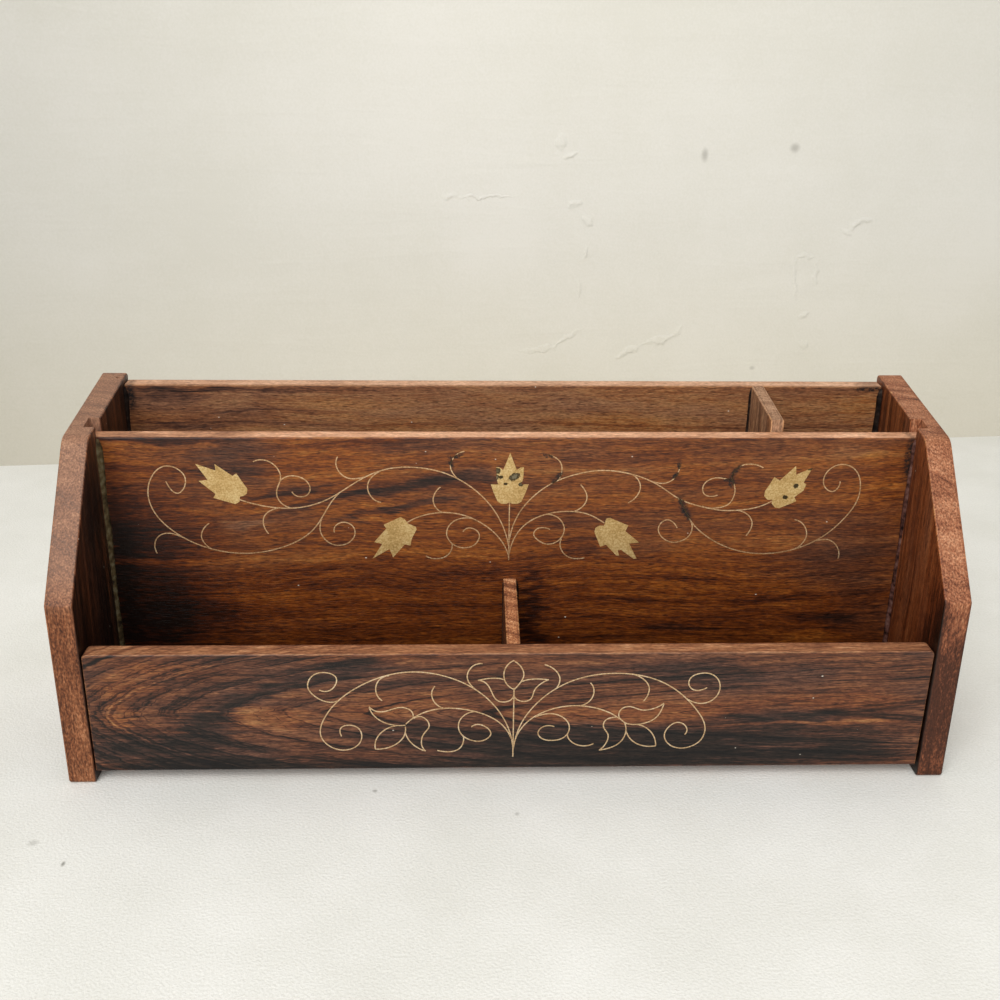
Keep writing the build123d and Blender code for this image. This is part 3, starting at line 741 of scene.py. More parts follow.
@dataclass(frozen=True)
class DriedGlue:
    """Hide glue that squeezed out and dried: lumpy, half clear, greyed by dust and dark underneath."""

    name: str
    dark: str = "1d1611"
    plain: str = "3f362a"
    pale: str = "70664f"
    roughness: float = 0.38
    level: float = 0.0

    def material(self) -> bpy.types.Material:
        """Builds the finish.

        Returns:
            The material.
        """
        material = new_material(self.name)
        tree = material.node_tree
        place = millimetres(tree)
        lumps = add_node(tree, "TexNoise", {}, {"Vector": place, "Scale": 0.42, "Detail": 4.0})
        level = add_node(tree, "Math", MULTIPLY_ADD, {0: lumps, 1: 1.9, 2: self.level - 0.45})
        colour = add_node(tree, "ValToRGB", {}, {0: level}, (
            (0.15, self.dark), (0.5, self.plain), (0.9, self.pale),
        ))
        bump = add_node(tree, "Bump", {}, {"Strength": 0.5, "Distance": 0.0003, "Height": lumps})
        shader = add_node(tree, "BsdfPrincipled", {}, {
            "Base Color": colour, "Roughness": self.roughness, "Normal": bump, "IOR": 1.5,
            "Specular IOR Level": 0.1,
        })
        add_node(tree, "OutputMaterial", {}, {"Surface": shader})
        return material


@dataclass(frozen=True)
class NailSteel:
    """Plain steel wire nail: grey heads, rough from the hammer, with brown rust freckles."""

    name: str = "nail_steel"

    def material(self) -> bpy.types.Material:
        """Builds the finish.

        Returns:
            The material.
        """
        material = new_material(self.name)
        tree = material.node_tree
        place = millimetres(tree)
        freckles = add_node(tree, "TexNoise", {}, {"Vector": place, "Scale": 1.9, "Detail": 3.0})
        colour = add_node(tree, "ValToRGB", {}, {0: freckles}, (
            (0.35, "6e6a66"), (0.52, "5a5149"), (0.62, "4a2f20"),
        ))
        shine = add_node(tree, "Math", MULTIPLY_ADD, {0: freckles, 1: 0.5, 2: 0.22})
        shader = add_node(tree, "BsdfPrincipled", {}, {"Base Color": colour, "Metallic": 0.9, "Roughness": shine})
        add_node(tree, "OutputMaterial", {}, {"Surface": shader})
        return material


@dataclass(frozen=True)
class PaleCoat:
    """Matt paint on plaster: nearly even, with a soft mottle, a fine tooth and old scars under the coat.

    A wall is clear from behind, so that it doesn't hide the holder's back.

    shade is painted shade: how much darker the coat is painted at its left end, and a third of it at its right
    end. foot is the tint of painted shade and warm bounce light that a wall gets at its foot. marks are small
    grey smudges on it, and lumps stand up by their tone.
    """

    name: str
    low: str
    high: str
    mottle_mm: float = 60.0
    tooth_mm: float = 1.2
    relief: float = 0.1
    scars: float = 0.0
    shade: float = 0.0
    foot: str = "f9f6ee"
    flat: bool = True
    marks: tuple[Streak, ...] = ()
    lumps: tuple[Streak, ...] = ()

    def material(self) -> bpy.types.Material:
        """Builds the finish.

        Returns:
            The material.
        """
        material = new_material(self.name)
        tree = material.node_tree
        place = millimetres(tree)
        mottle = add_node(tree, "TexNoise", {}, {
            "Vector": place, "Scale": 1 / self.mottle_mm, "Detail": 5.0, "Roughness": 0.6,
        })
        tooth = add_node(tree, "TexNoise", {}, {"Vector": place, "Scale": 1 / self.tooth_mm, "Detail": 2.0})
        level = add_node(tree, "Math", MULTIPLY_ADD, {0: tooth, 1: 0.7, 2: -0.35})
        level = add_node(tree, "Math", ADD, {0: mottle, 1: level})
        colour = add_node(tree, "ValToRGB", {}, {0: level}, ((0.3, self.low), (0.7, self.high)))
        colour = self._painted_shade(tree, place, colour)
        for mark in self.marks:
            colour = self._marked(tree, place, colour, mark)
        height = add_node(tree, "Math", MULTIPLY, {0: tooth, 1: self.relief})
        if self.scars:
            height = add_node(tree, "Math", MULTIPLY_ADD, {0: self._scarred(tree, place), 1: self.scars, 2: height})
        bump = add_node(tree, "Bump", {}, {"Strength": 1.0, "Distance": 0.001, "Height": height})
        shader = add_node(tree, "BsdfPrincipled", {}, {
            "Base Color": colour, "Roughness": 0.8, "Normal": bump, "Specular IOR Level": 0.2,
        })
        if not self.flat:
            behind = add_node(tree, "NewGeometry").outputs["Backfacing"]
            clear = add_node(tree, "BsdfTransparent")
            shader = add_node(tree, "MixShader", {}, {0: behind, 1: shader, 2: clear})
        add_node(tree, "OutputMaterial", {}, {"Surface": shader})
        return material

    def _painted_shade(self, tree: Tree, place: Source, colour: Source) -> Source:
        """Paints shade on the coat, darker toward its left end and a little toward its right end, and paints shade
        and warm bounce light on a wall toward its foot.

        Args:
            tree: the node tree.
            place: the point in millimetres.
            colour: the colour of the paint under it.

        Returns:
            The colour with the painted shade on it.
        """
        across = add_node(tree, "SeparateXYZ", {}, {0: place})
        # Painted shade: the coat is darker toward its left end and a little toward its right end, where less light
        # falls.
        dull = add_node(tree, "MapRange", SMOOTH, {0: across, 1: -420.0, 2: 20.0, 3: self.shade, 4: 0.0})
        right = add_node(tree, "MapRange", SMOOTH, {0: across, 1: 60.0, 2: 360.0, 3: 0.0, 4: self.shade / 3})
        dull = add_node(tree, "Math", ADD, {0: dull, 1: right})
        colour = add_node(tree, "Mix", TINT, {0: dull, 6: colour, 7: linear("000000")}).outputs[2]
        if self.flat:
            return colour
        # Painted shade and warm bounce light: a wall is tinted darker and warmer toward its foot on the table.
        height = add_node(tree, "SeparateXYZ", {}, {0: place}).outputs[2]
        foot = add_node(tree, "MapRange", SMOOTH, {0: height, 1: 0.0, 2: 170.0, 3: 1.0, 4: 0.0})
        return add_node(tree, "Mix", TINT, {0: foot, 6: colour, 7: linear(self.foot)}).outputs[2]

    def _marked(self, tree: Tree, place: Source, colour: Source, mark: Streak) -> Source:
        """Lays one grey smudge, whose tone is its strength.

        Args:
            tree: the node tree.
            place: the point in millimetres.
            colour: the colour of the paint under it.
            mark: the smudge.

        Returns:
            The colour with the smudge on it.
        """
        reach = mark.reach(tree, place, self.flat)
        cover = add_node(tree, "MapRange", SMOOTH, {0: reach, 1: 0.2, 2: 1.6, 3: mark.tone, 4: 0.0})
        return add_node(tree, "Mix", BLEND, {0: cover, 6: colour, 7: linear("6e6a60")}).outputs[2]

    def _scarred(self, tree: Tree, place: Source) -> Source:
        """Raises the long trowel marks and the few lumps of old plaster.

        Args:
            tree: the node tree.
            place: the point in millimetres.

        Returns:
            The height of the coat.
        """
        drawn = add_node(tree, "Mapping", {}, {
            0: place, "Rotation": (0.0, math.radians(-4), 0.0), "Scale": (1 / 110, 1 / 40, 1 / 16),
        })
        height = add_node(tree, "TexNoise", {}, {
            "Vector": drawn, "Scale": 1.0, "Detail": 3.0, "Roughness": 0.55, "Distortion": 0.4,
        })
        bend = add_node(tree, "TexNoise", {}, {"Vector": place, "Scale": 0.13, "Detail": 2.0}).outputs["Color"]
        bend = add_node(tree, "VectorMath", MULTIPLY_ADD, {0: bend, 1: (9.0, 0.0, 9.0), 2: (-4.5, 0.0, -4.5)})
        bent = add_node(tree, "VectorMath", ADD, {0: place, 1: bend})
        for lump in self.lumps:
            reach = lump.reach(tree, bent)
            rise = add_node(tree, "MapRange", SMOOTH, {0: reach, 1: 0.3, 2: 1.5, 3: lump.tone, 4: 0.0})
            height = add_node(tree, "Math", ADD, {0: height, 1: rise})
        return height


LONG_STIPPLE = (9.0, 0.6, 0.5)
# Painted shade: the low tone and the dark rows at along 24 and 30 stand partly for the shade on the inner face, low
# down; outer_tone lifts the outer face back.
SIDE_LEFT = Rosewood(
    name="rosewood_left_side", lay=Lay.UPRIGHT, tone=0.32, warmth=0.55, band_mm=4.0, band_gain=0.8, drift_gain=0.7,
    edge_tone=0.74, seed=1.2, weathered=0.4, outer_tone=0.26, arris_gain=0.5, coat=0.06,
    worn=("3b1d0e", "673a20", "875637", "a17352"),
    streaks=(
        Streak(24.0, -45.0, 44.0, 16.0, tone=-0.22, warmth=0.5),
        Streak(30.0, -20.0, 50.0, 22.0, tone=-0.14),
        Streak(92.0, -14.0, 12.0, 10.0, tone=-0.2, warmth=-0.1),
    ),
)
SIDE_RIGHT = Rosewood(
    name="rosewood_right_side", lay=Lay.UPRIGHT, tone=0.56, warmth=0.95, band_mm=3.2, band_gain=0.7, drift_gain=0.6,
    edge_tone=0.62, seed=4.7, worn=("3f2011", "6e3e27", "905b3d", "b17e5d"), arris_gain=0.5, coat=0.06,
    warm=("180c06", "3d1c0e", "6a3417", "8e532f", "ae7d4d"),
    fibre_gain=0.35, thread_gain=0.15, grit_gain=0.3,
    streaks=(
        Streak(24.0, -45.0, 44.0, 16.0, tone=-0.5, warmth=0.1),
        Streak(30.0, -45.0, 38.0, 2.0, tone=-0.35),
    ),
)
FRONT = Rosewood(
    name="rosewood_front_board", lay=Lay.PANEL, tone=0.54, warmth=0.42, band_gain=0.62,
    line_gain=0.34, drift_gain=0.42, fibre_gain=0.6, thread_gain=0.55, grit_gain=0.5, seed=2.6, wander_mm=1.8,
    arch=Arch(),
    cool=("100d0c", "251c17", "402a22", "5f3f30", "7d5741"), warm=("160d08", "391f12", "61351f", "7e4e2c", "986c42"),
    worn=("623b29", "87573b", "a26e4a", "c4946e"), roughness=0.46, coat=0.06,
    stipple_mm=LONG_STIPPLE,
    streaks=streaks(
        (-128.3, 39.2, 10, 5, 20, 0.12, 0.35), (-133.1, 26.1, 4.6, 7, 0, 0.14, 0.4),
        (-80.8, 25.2, 12, 5, 0, 0.16, 0.4), (-104, 21.6, 11, 7, 10, -0.16, -0.4),
        (-112, 10, 32, 8, -8, -0.24, -0.6), (-92, 31.5, 20, 2.6, 26, -0.16, -0.35),
        (-60, 42, 20, 2.4, 12, -0.12, -0.3), (-93.2, 11, 8, 3, 0, 0.14, 0), (-86.6, 5.5, 62, 3.6, 0, -0.2, -0.1),
        (0, 5, 60, 4, 1, -0.2, -0.3), (56.1, 13.5, 92, 7.8, -1, -0.36, -0.5), (48.6, 27.6, 33, 4.6, 2, 0.1, 0.5),
        (110.3, 31.2, 34, 2.6, -1, 0.07, 0.45), (94.6, 25.2, 26, 2.4, 1, -0.24, -0.4),
        (104, 22.4, 30, 0.8, 1, 0.26, 0.4), (92.4, 12, 15, 2.2, 2, 0.22, 0.2), (78, 14.6, 6, 1.2, 0, 0.2, 0.1),
        (138.1, 13, 6, 5, 0, 0.2, 0.1), (-41, 31, 20, 6, 8, 0.1, 0.35), (-53, 47, 8, 2, 6, -0.16, -0.3),
        (63.5, 42, 24, 4.4, -3, -0.12, -0.35), (110, 42, 26, 4.4, 0, 0.04, -0.2),
    ),
)
MIDDLE = Rosewood(
    name="rosewood_middle_board", lay=Lay.PANEL, tone=0.64, warmth=0.74, band_mm=9.0, band_gain=0.3,
    line_gain=0.12, drift_gain=0.5, fibre_gain=0.42, thread_gain=0.42, grit_gain=0.62, seed=6.1,
    wander_mm=5.0, slope=0.03,
    cool=("0f0906", "2b1911", "46291b", "5f3a25", "775238"), warm=("120703", "341405", "59290a", "7a4214", "925f2a"),
    worn=("85583e", "b4805d", "cd9977", "e9ba95"), coat=0.08, edge_tone=0.55, arris_gain=0.4,
    stipple_mm=LONG_STIPPLE,
    streaks=streaks(
        (-131.1, 104.1, 11, 6.6, -8, 0.04, 0.3), (-94.8, 103.4, 13, 8.2, 4, -0.1, -0.5),
        (-67.8, 100.8, 21, 8.4, -3, 0.06, 0.4), (-28, 106.6, 24, 2.4, 0, -0.1, -0.5),
        (-64, 86.4, 17, 1.5, 14, -0.26, -0.6), (-38, 91.4, 20, 2, 11, -0.24, -0.6),
        (-18, 95.6, 15, 2.4, 6, -0.16, -0.6), (-50, 81.4, 13, 0.9, 15, -0.26, -0.5),
        (-30, 85.6, 16, 0.9, 9, -0.22, -0.5), (-78, 90.4, 14, 1.2, 8, -0.2, -0.5), (-25, 75, 32, 8, 3, 0.04, 0.7),
        (-123, 77, 15, 12, 0, -0.05, 0.6), (-36, 102.5, 30, 6, 0, 0.06, 0), (-60, 70, 20, 1.2, -4, -0.14, -0.2),
        # Painted shade: the dark rows at along -138 and -122 here, -141 below and -129 further down darken the
        # board's left end, where the left side shades it.
        (-94, 78.9, 11, 1.5, 0, 0.16, -0.6), (-138, 81.9, 7, 17, 0, -0.22, 0.1), (-122, 60, 22, 26, 0, -0.16, 0.2),
        (-141, 38, 5, 46, 0, -0.3, 0), (-124, 110.6, 34, 1.2, 0, -0.4, 0), (118, 110.6, 44, 1.2, 0, -0.3, 0),
        # Painted shadow: the dark row at along 9, across 40 is the front divider's shadow on the board to its right.
        (9, 40, 3.6, 22, 0, -0.3, 0), (29.8, 99, 40, 10, -2, 0.08, -0.1), (96, 103, 36, 7, 0, 0.1, -0.2),
        (25.9, 68.7, 8.5, 3, 8, -0.2, -0.2), (32, 60.2, 34, 3, -4, 0.02, 0.6), (-118, 38, 26, 14, -6, -0.22, -0.1),
        (62.5, 57, 15, 1.8, 0, -0.14, -0.2), (72.6, 51.2, 20, 3.6, 6, 0.05, 0.2), (104, 46, 34, 14, 0, -0.07, 0.1),
        (95.5, 49.1, 15, 1.6, 8, -0.14, -0.2), (117, 41.9, 13, 3, 0, -0.18, -0.4),
        (114.8, 32.7, 12, 3.2, 0, 0.16, 0.3), (63.2, 35.6, 15, 2, 0, -0.2, -0.5),
        (131.9, 40, 12, 15, 0, -0.12, -0.2), (126, 66, 18, 12, 0, -0.12, -0.3), (132.8, 98, 9, 9, 0, 0.04, 0.3),
        # The row at along 0, across 30 darkens and warms the board's lower part: partly the wood and partly painted
        # shade and warm bounce light low in the compartment.
        (0, 30, 150, 25, 0, -0.15, 0.5), (-129, 52, 13, 36, 0, -0.24, 0.2), (-16, 68, 40, 10, 0, -0.03, 0.5),
        (-40, 56, 60, 7, 0, -0.08, 0.3),
    ),
    lac=streaks(
        (142.3, 103.5, 1.7, 8.5, 0), (-18.2, 104.3, 1.9, 0.7, 25), (-20.7, 101.6, 0.7, 3, 12),
        (13.2, 104.3, 2.2, 0.7, -18), (16.8, 96, 0.8, 3, -40), (59.9, 101, 0.8, 1.8, 0), (59, 97, 0.7, 1.6, -35),
        (63, 84.2, 1.3, 5.4, 28), (80.4, 98.6, 0.9, 3, -38), (79.2, 94.6, 1.2, 2.4, 0), (77.6, 95, 1.3, 0.8, 0),
    ),
)
BACK = Rosewood(
    name="rosewood_back_board", lay=Lay.PANEL, tone=0.88, band_mm=5.5, band_gain=0.5, drift_gain=0.5,
    line_gain=0.2, grit_gain=0.6, seed=9.4, roughness=0.55, coat=0.03,
    worn=("7c5237", "a07558", "b88b6d", "cca283"),
    cool=("0e0907", "2b1911", "503223", "6f4933", "855e42"), warm=("130905", "381c0e", "64371c", "804c25", "95673c"),
    stipple_mm=LONG_STIPPLE,
    streaks=streaks(
        (-104.4, 112.8, 9.5, 3.4, 0, 0.16, 0.1), (-109.8, 117.6, 34, 0.9, 0, -0.3, -0.2),
        (-130.3, 114.8, 15, 4, 0, -0.16, -0.3), (-123.9, 101.3, 20, 1.3, 4, -0.2, -0.2),
        (-78.2, 108.9, 28, 0.9, 2, -0.22, -0.2), (-118, 108, 36, 9, 0, -0.16, -0.3),
        (14.6, 110.5, 38, 2.2, 2, -0.06, -0.2), (59, 104, 40, 2.8, 0, 0.02, 0.3), (136.5, 109.2, 7, 6, 0, 0, 0.4),
        (125, 109, 18, 9, 0, -0.07, 0.1),
    ),
    lac=(Streak(139.0, 117.6, 6.4, 1.0, 0), Streak(-141.0, 114.0, 1.7, 5.0, 0)),
)
BOTTOM = Rosewood(
    name="rosewood_bottom_board", lay=Lay.FLOOR, tone=0.4, seed=12.3, roughness=0.6, coat=0.0,
)
DIVIDER_FRONT = Rosewood(
    name="rosewood_front_divider", lay=Lay.UPRIGHT, warmth=0.7, band_mm=3.0, seed=15.8,
    worn=("673d27", "945c3a", "b57b52", "d3a47b"), roughness=0.55, coat=0.03,
)
DIVIDER_REAR = Rosewood(
    name="rosewood_rear_divider", lay=Lay.UPRIGHT, tone=0.9, warmth=0.45, band_mm=3.0, band_gain=0.6, seed=18.5,
    cool=("160f0e", "34241b", "5b4130", "7f5c45", "9c775b"),
    worn=("523a2c", "775740", "8e6a50", "a88366"), roughness=0.6, coat=0.0,
)
LEAF_LAC = (
    Streak(1.6, 96.4, 2.3, 1.35, 30, tone=0.75), Streak(-4.5, 98.6, 1.2, 1.2, 0, tone=0.3),
    Streak(-4.9, 96.2, 1.0, 1.3, 0, tone=0.9), Streak(-3.2, 96.2, 0.8, 0.7, 0), Streak(-1.5, 93.7, 0.75, 0.45, 0),
    Streak(3.9, 93.5, 0.95, 0.85, 0, tone=0.4),
    Streak(102.5, 92.9, 0.95, 0.95, 0), Streak(99.0, 88.6, 0.95, 0.85, 0), Streak(107.0, 99.7, 1.2, 0.9, 0, tone=0.2),
)
FRONT_WIRE = Brass("front_brass_wire", dull="ac8b66", plain="d3b38a", bright="e6d1b0", roughness=0.42)
MIDDLE_WIRE = Brass(
    "middle_brass_wire", dull="937451", plain="c19a71", bright="d8be98", roughness=0.42, lac=MIDDLE.lac[1:],
)
LEAF_BRASS = Brass("leaf_brass", dull="a88852", plain="c6a46c", bright="dbc38f", lac=LEAF_LAC)


@dataclass
class Boards:
    """The eight boards of the holder, each cut from its own plank."""

    finishes: dict[str, Rosewood] = field(default_factory=lambda: {
        "left_side": SIDE_LEFT,
        "right_side": SIDE_RIGHT,
        "front_panel": FRONT,
        "middle_panel": MIDDLE,
        "back_panel": BACK,
        "bottom_board": BOTTOM,
        "front_divider": DIVIDER_FRONT,
        "rear_divider": DIVIDER_REAR,
    })

    def dress(self) -> None:
        """Gives each board the finish of its plank."""
        for node, finish in self.finishes.items():
            dress(node, finish.material(node))


@dataclass
class Inlay:
    """The brass wires of both vines, the leaf plates and the nails."""

    front: Brass = FRONT_WIRE
    middle: Brass = MIDDLE_WIRE
    leaf: Brass = LEAF_BRASS
    nail: NailSteel = NailSteel()

    def dress(self) -> None:
        """Gives each wire, leaf and nail its metal."""
        front, middle = self.front.material(), self.middle.material()
        leaf, nail = self.leaf.material(), self.nail.material()
        for node in sorted(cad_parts):
            if "wire" in node:
                dress(node, front if node.startswith("front") else middle)
            elif "leaf" in node:
                dress(node, leaf)
            elif "brads" in node:
                dress(node, nail)


@dataclass
class GlueRun:
    """One bead of dried glue in an inner corner, lumpy and of uneven width.

    start and end are the two ends of the corner line, reach is how far the bead covers each of the two
    faces, and toward their directions away from the corner. lumps is how uneven the bead is, and step the
    length from one ring of its corners to the next.
    """

    name: str
    slot: str
    finish: DriedGlue
    start: tuple[float, float, float]
    end: tuple[float, float, float]
    reach: tuple[float, float]
    toward: tuple[tuple[float, float, float], tuple[float, float, float]]
    lumps: float
    step: float = 1.6

    def build(self) -> None:
        """Sweeps a small rounded wedge along the corner and swells it here and there."""
        start, end = Vector(self.start), Vector(self.end)
        one, two = (Vector(side) for side in self.toward)
        run = (end - start).normalized()
        rings = max(4, int((end - start).length / self.step))
        shape = bmesh.new()
        near, far = self.reach
        wedge = [
            -0.12 * (one + two), near * one - 0.1 * two, 0.55 * near * one + 0.34 * far * two,
            0.34 * near * one + 0.55 * far * two, far * two - 0.1 * one,
        ]
        corners = [shape.verts.new(start + point) for point in wedge]
        faces = [shape.faces.new(corners)]
        for _ in range(rings):
            grown = bmesh.ops.extrude_face_region(shape, geom=faces)
            fresh = [item for item in grown["geom"] if isinstance(item, bmesh.types.BMVert)]
            bmesh.ops.translate(shape, verts=fresh, vec=run * (end - start).length / rings)
            faces = [item for item in grown["geom"] if isinstance(item, bmesh.types.BMFace)]
        bmesh.ops.delete(shape, geom=[f for f in shape.faces if self._inside(f, start, end, run)], context="FACES")
        for vert in shape.verts:
            height = (vert.co - start).dot(run)
            base = start + run * height
            swell = 1 + self.lumps * 1.7 * noise.noise(Vector((height * 0.07, self.start[0], self.start[1])))
            swell += self.lumps * 0.6 * noise.noise(Vector((height * 0.33, self.start[1], 4.0)))
            ends = min(1.0, 0.45 + min(height, (end - start).length - height) / 5.0)
            out = vert.co - base
            vert.co = base + out * max(0.35, swell * ends) if out.length > 0.3 else vert.co
        bmesh.ops.scale(shape, vec=(MM, MM, MM), verts=shape.verts)
        bmesh.ops.recalc_face_normals(shape, faces=shape.faces)
        self._order(shape)
        for face in shape.faces:
            face.smooth = True
        bead = add_piece(self.name, shape, self.finish.material())
        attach(bead, "root")
        LOG.info("%s laid, %d rings", self.name, rings)

    @staticmethod
    def _order(shape: bmesh.types.BMesh) -> None:
        """Sorts the faces by their corners, because the extrusion stores them in another order each run.

        Args:
            shape: the bead's form.
        """
        shape.verts.index_update()
        faces = sorted(shape.faces, key=lambda face: sorted(vert.index for vert in face.verts))
        rank = {face: place for place, face in enumerate(faces)}
        shape.faces.sort(key=lambda face: rank[face])

    @staticmethod
    def _inside(face: bmesh.types.BMFace, start: Vector, end: Vector, run: Vector) -> bool:
        """Tells whether a face is a cross wall left inside the bead by the extrusion."""
        height = (face.calc_center_median() - start).dot(run)
        return abs(face.normal.dot(run)) > 0.9 and 0.01 < height < (end - start).length - 0.01


@dataclass
class Joints:
    """The glue in the inner corners of the holder, which the boards' faces and tops place."""

    inner_half: float = 143.3
    middle_face: float = -0.7
    back_face: float = 38.1
    middle_back: float = 6.3
    front_back: float = -37.9
    floor_top: float = 9.7
    middle_top: float = 110.4
    back_top: float = 117.6

    def build(self) -> None:
        """Lays every bead."""
        left, right, forward, backward = (1.0, 0, 0), (-1.0, 0, 0), (0, -1.0, 0), (0, 1.0, 0)
        grey = DriedGlue("dried_glue_grey", dark="231d15", plain="54452c", pale="6f6851", roughness=0.6)
        dark = DriedGlue("dried_glue_dark", dark="100b09", plain="241a15", pale="45382e", level=-0.1, roughness=0.55)
        plum = DriedGlue("dried_glue_plum", dark="140b0a", plain="50322b", pale="6b5048", level=-0.05, roughness=0.45)
        pale = DriedGlue("dried_glue_pale", dark="4a3a2a", plain="8a765c", pale="b7a487", roughness=0.55)
        half, middle, back = self.inner_half, self.middle_face, self.back_face
        high, behind = self.middle_top, self.middle_back
        low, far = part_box("rear_divider")
        rear_left, rear_right, rear_top = low[0] / MM, far[0] / MM, far[2] / MM - 1.0
        low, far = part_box("front_divider")
        split_left, split_right, split_top = low[0] / MM, far[0] / MM, far[2] / MM
        rows = (
            ("middle_left", "middle_wood", grey, -half, middle, high, (1.4, 1.6), (left, forward), 0.3),
            ("middle_right", "middle_wood", plum, half, middle, high, (1.1, 1.4), (right, forward), 0.3),
            ("back_left", "back_wood", dark, -half, back, self.back_top, (1.8, 1.4), (left, forward), 0.3),
            ("back_right", "back_wood", dark, half, back, self.back_top, (1.6, 1.4), (right, forward), 0.3),
            ("behind_left", "middle_wood", grey, -half, behind, high - 3, (1.3, 1.3), (left, backward), 0.3),
            ("behind_right", "middle_wood", grey, half, behind, high - 3, (1.3, 1.3), (right, backward), 0.3),
            ("front_left", "front_wood", dark, -half, self.front_back, 46.0, (1.4, 1.4), (left, backward), 0.3),
            ("front_right", "front_wood", dark, half, self.front_back, 46.0, (1.4, 1.4), (right, backward), 0.3),
            ("rear_divider_left", "divider_wood", dark, rear_left, back, rear_top,
             (0.9, 0.9), (right, forward), 0.5),
            ("rear_divider_right", "divider_wood", pale, rear_right, back, rear_top - 2,
             (1.2, 1.4), (left, forward), 0.5),
            ("front_divider_right", "divider_wood", dark, split_right, middle, split_top - 1.0,
             (1.0, 1.2), (left, forward), 0.4),
            ("front_divider_left", "divider_wood", dark, split_left, middle, split_top - 1.5,
             (0.3, 0.4), (right, forward), 0.4),
        )
        for name, slot, finish, x, y, top, reach, toward, lumps in rows:
            ends = (x, y, self.floor_top), (x, y, top)
            GlueRun("glue_" + name, slot, finish, *ends, reach, toward, lumps).build()


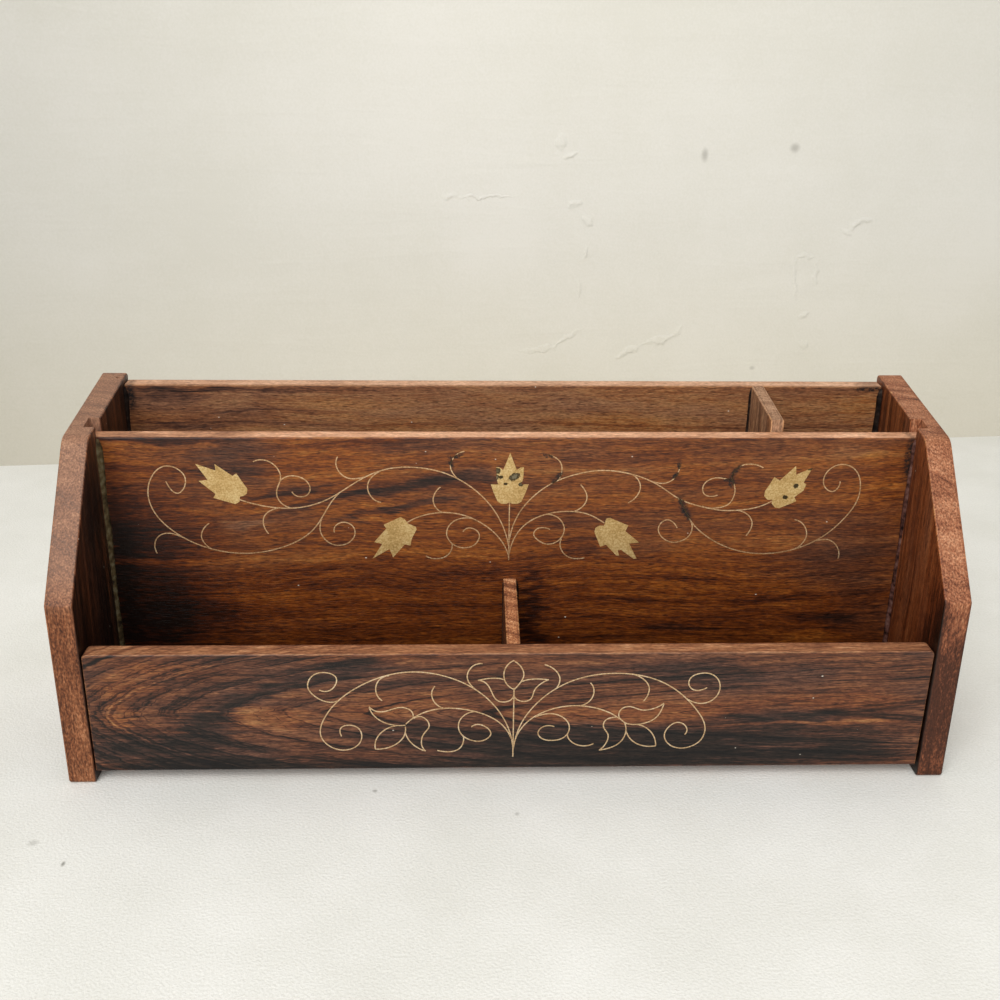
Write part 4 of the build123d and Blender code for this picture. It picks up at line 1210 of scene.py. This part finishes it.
@dataclass
class Studio:
    """The table top, the wall behind it, the lamp and the camera.

    yaw, pitch and roll turn the camera in radians, and focal_share is its focal length as a share of the
    picture's width. wall_from and wall_to are two points on the line where the wall meets the table, and
    spread and wall_half how far the table reaches from its middle and the wall from half its height.
    """

    eye: tuple[float, float, float] = (-17.11, -393.24, 244.27)
    yaw: float = 0.0349
    pitch: float = 0.3797
    roll: float = 0.0125
    focal_share: float = 1.1855
    wall_from: tuple[float, float] = (-289.5, 273.0)
    wall_to: tuple[float, float] = (334.3, 330.8)
    spread: float = 2600.0
    wall_half: float = 900.0
    # The table's shade is painted shade, darker toward its left end.
    table: PaleCoat = PaleCoat(
        "painted_table", "dddcd4", "e9e8e2", 70.0, tooth_mm=0.9, relief=0.2, shade=0.06,
        marks=(
            Streak(-46.9, -51.0, 0.8, 0.8, tone=0.5), Streak(1.4, -64.5, 0.7, 0.9, tone=0.35),
            Streak(-141.5, -87.7, 0.6, 1.2, tone=0.7), Streak(-154.2, -77.3, 1.6, 1.4, tone=0.3),
        ),
    )
    # The wall's shade is painted shade at its two ends, and its foot gets painted shade and warm bounce light.
    wall: PaleCoat = PaleCoat(
        "painted_wall", "d3d0c5", "d9d6cd", 90.0, relief=0.03, scars=0.55, shade=0.34, flat=False,
        lumps=streaks(
            (84, 61.5, 7, 1.6, 24, 0.9), (104, 68.5, 9, 1.8, 16, 0.9), (114.5, 74, 3, 2, 60, 0.6),
            (221.4, 137.2, 7, 1.8, 28, 0.9), (214, 132, 4, 1.6, -20, 0.6), (184, 106, 1.6, 12, 12, 0.6),
            (190, 118, 6, 1.3, 10, 0.6), (197, 108, 1.4, 7, -8, 0.6), (193.4, 82.4, 3.4, 1.8, 20, 0.8),
            (194.2, 63.6, 1.6, 3.6, 10, 0.7), (39.8, 183.6, 2, 4, -30, 0.8), (44.6, 176.5, 3, 1.4, 10, 0.8),
            (49, 149.8, 4, 2, 12, 0.9), (55.2, 140.6, 2.2, 3, 0, 0.8), (54.8, 122.2, 1.3, 5, 6, 0.6),
            (52, 100, 1.2, 6, 0, 0.5), (-24.7, 154.6, 4, 1.6, 10, 0.8), (-3.7, 154, 15, 0.9, 1, 0.6),
            (46, 71, 8, 1.2, 40, 0.6), (30, 64, 10, 1.1, 8, 0.5),
        ),
        marks=(
            Streak(123.2, 177.1, 1.8, 3.4, tone=0.4), Streak(176.5, 181.0, 2.6, 2.4, tone=0.42),
            Streak(163.0, 49.6, 1.6, 1.2, tone=0.3),
        ),
    )
    lamp_place: tuple[float, float, float] = (-500.0, -1680.0, 1400.0)
    lamp_aim: tuple[float, float, float] = (0.0, 0.0, 50.0)
    lamp_size: float = 1800.0
    lamp_watts: float = 49.5
    sensor_mm: float = 36.0
    sky: float = 0.58

    def build(self) -> None:
        """Sets up the whole studio."""
        self._sheet("table_top", self.table, Matrix.Identity(4), self.spread, self.spread)
        self._wall()
        self._lamp()
        self._sky()
        self._camera()

    def _sheet(self, name: str, finish: PaleCoat, turn: Matrix, wide: float, deep: float) -> None:
        """Adds one flat sheet of the surroundings.

        Args:
            name: the sheet's name.
            finish: its paint.
            turn: where the sheet goes, in millimetres.
            wide: half its width.
            deep: half its depth.
        """
        shape = bmesh.new()
        bmesh.ops.create_grid(shape, x_segments=1, y_segments=1, size=1.0)
        bmesh.ops.scale(shape, vec=(wide, deep, 1.0), verts=shape.verts)
        bmesh.ops.transform(shape, matrix=turn, verts=shape.verts)
        bmesh.ops.scale(shape, vec=(MM, MM, MM), verts=shape.verts)
        sheet = add_piece(name, shape, finish.material())
        LOG.info("%s set", name)

    def _wall(self) -> None:
        """Stands the wall on the line where it meets the table."""
        start, end = Vector((*self.wall_from, 0.0)), Vector((*self.wall_to, 0.0))
        run = (end - start).normalized()
        up = Vector((0.0, 0.0, 1.0))
        out = run.cross(up)
        turn = Matrix((
            (run.x, up.x, out.x, (start.x + end.x) / 2),
            (run.y, up.y, out.y, (start.y + end.y) / 2),
            (run.z, up.z, out.z, self.wall_half),
            (0.0, 0.0, 0.0, 1.0),
        ))
        self._sheet("back_wall", self.wall, turn, self.spread, self.wall_half)

    def _lamp(self) -> None:
        """Hangs the square white lamp that stands for the window, facing the holder."""
        data = bpy.data.lights.new("window_light", "AREA")
        data.size = self.lamp_size * MM
        data.energy = self.lamp_watts
        lamp = bpy.data.objects.new("window_light", data)
        bpy.context.scene.collection.objects.link(lamp)
        spot, aim = Vector(self.lamp_place) * MM, Vector(self.lamp_aim) * MM
        lamp.location = spot
        lamp.rotation_euler = (aim - spot).to_track_quat("-Z", "Y").to_euler()

    def _sky(self) -> None:
        """Lights the scene evenly from all round, as a bright room does."""
        world = bpy.data.worlds.new("room")
        world.use_nodes = True
        world.node_tree.nodes.clear()
        light = add_node(world.node_tree, "Background", {}, {"Color": linear("fdfdff"), "Strength": self.sky})
        add_node(world.node_tree, "OutputWorld", {}, {"Surface": light})
        bpy.context.scene.world = world

    def _camera(self) -> None:
        """Puts the camera where the photograph was taken from."""
        ca, sa = math.cos(self.yaw), math.sin(self.yaw)
        cb, sb = math.cos(self.pitch), math.sin(self.pitch)
        cc, sc = math.cos(self.roll), math.sin(self.roll)
        yaw = Matrix(((ca, -sa, 0), (sa, ca, 0), (0, 0, 1)))
        pitch = Matrix(((1, 0, 0), (0, cb, -sb), (0, sb, cb)))
        roll = Matrix(((cc, 0, sc), (0, 1, 0), (-sc, 0, cc)))
        view = roll @ pitch @ yaw
        turn = Matrix((view[0], view[2], -view[1])).transposed()
        data = bpy.data.cameras.new("photo_camera")
        data.sensor_width = self.sensor_mm
        data.lens = self.sensor_mm * self.focal_share
        data.clip_start = 0.01
        camera = bpy.data.objects.new("photo_camera", data)
        camera.matrix_world = Matrix.Translation(Vector(self.eye) * MM) @ turn.to_4x4()
        bpy.context.scene.collection.objects.link(camera)
        bpy.context.scene.camera = camera


def main() -> None:
    """Builds the dressed holder and its studio."""
    logging.basicConfig(level=logging.INFO, format="%(name)s: %(message)s")
    bpy.context.scene.view_settings.view_transform = "Standard"
    Boards().dress()
    Inlay().dress()
    Joints().build()
    Studio().build()


if __name__ == "__main__":
    main()
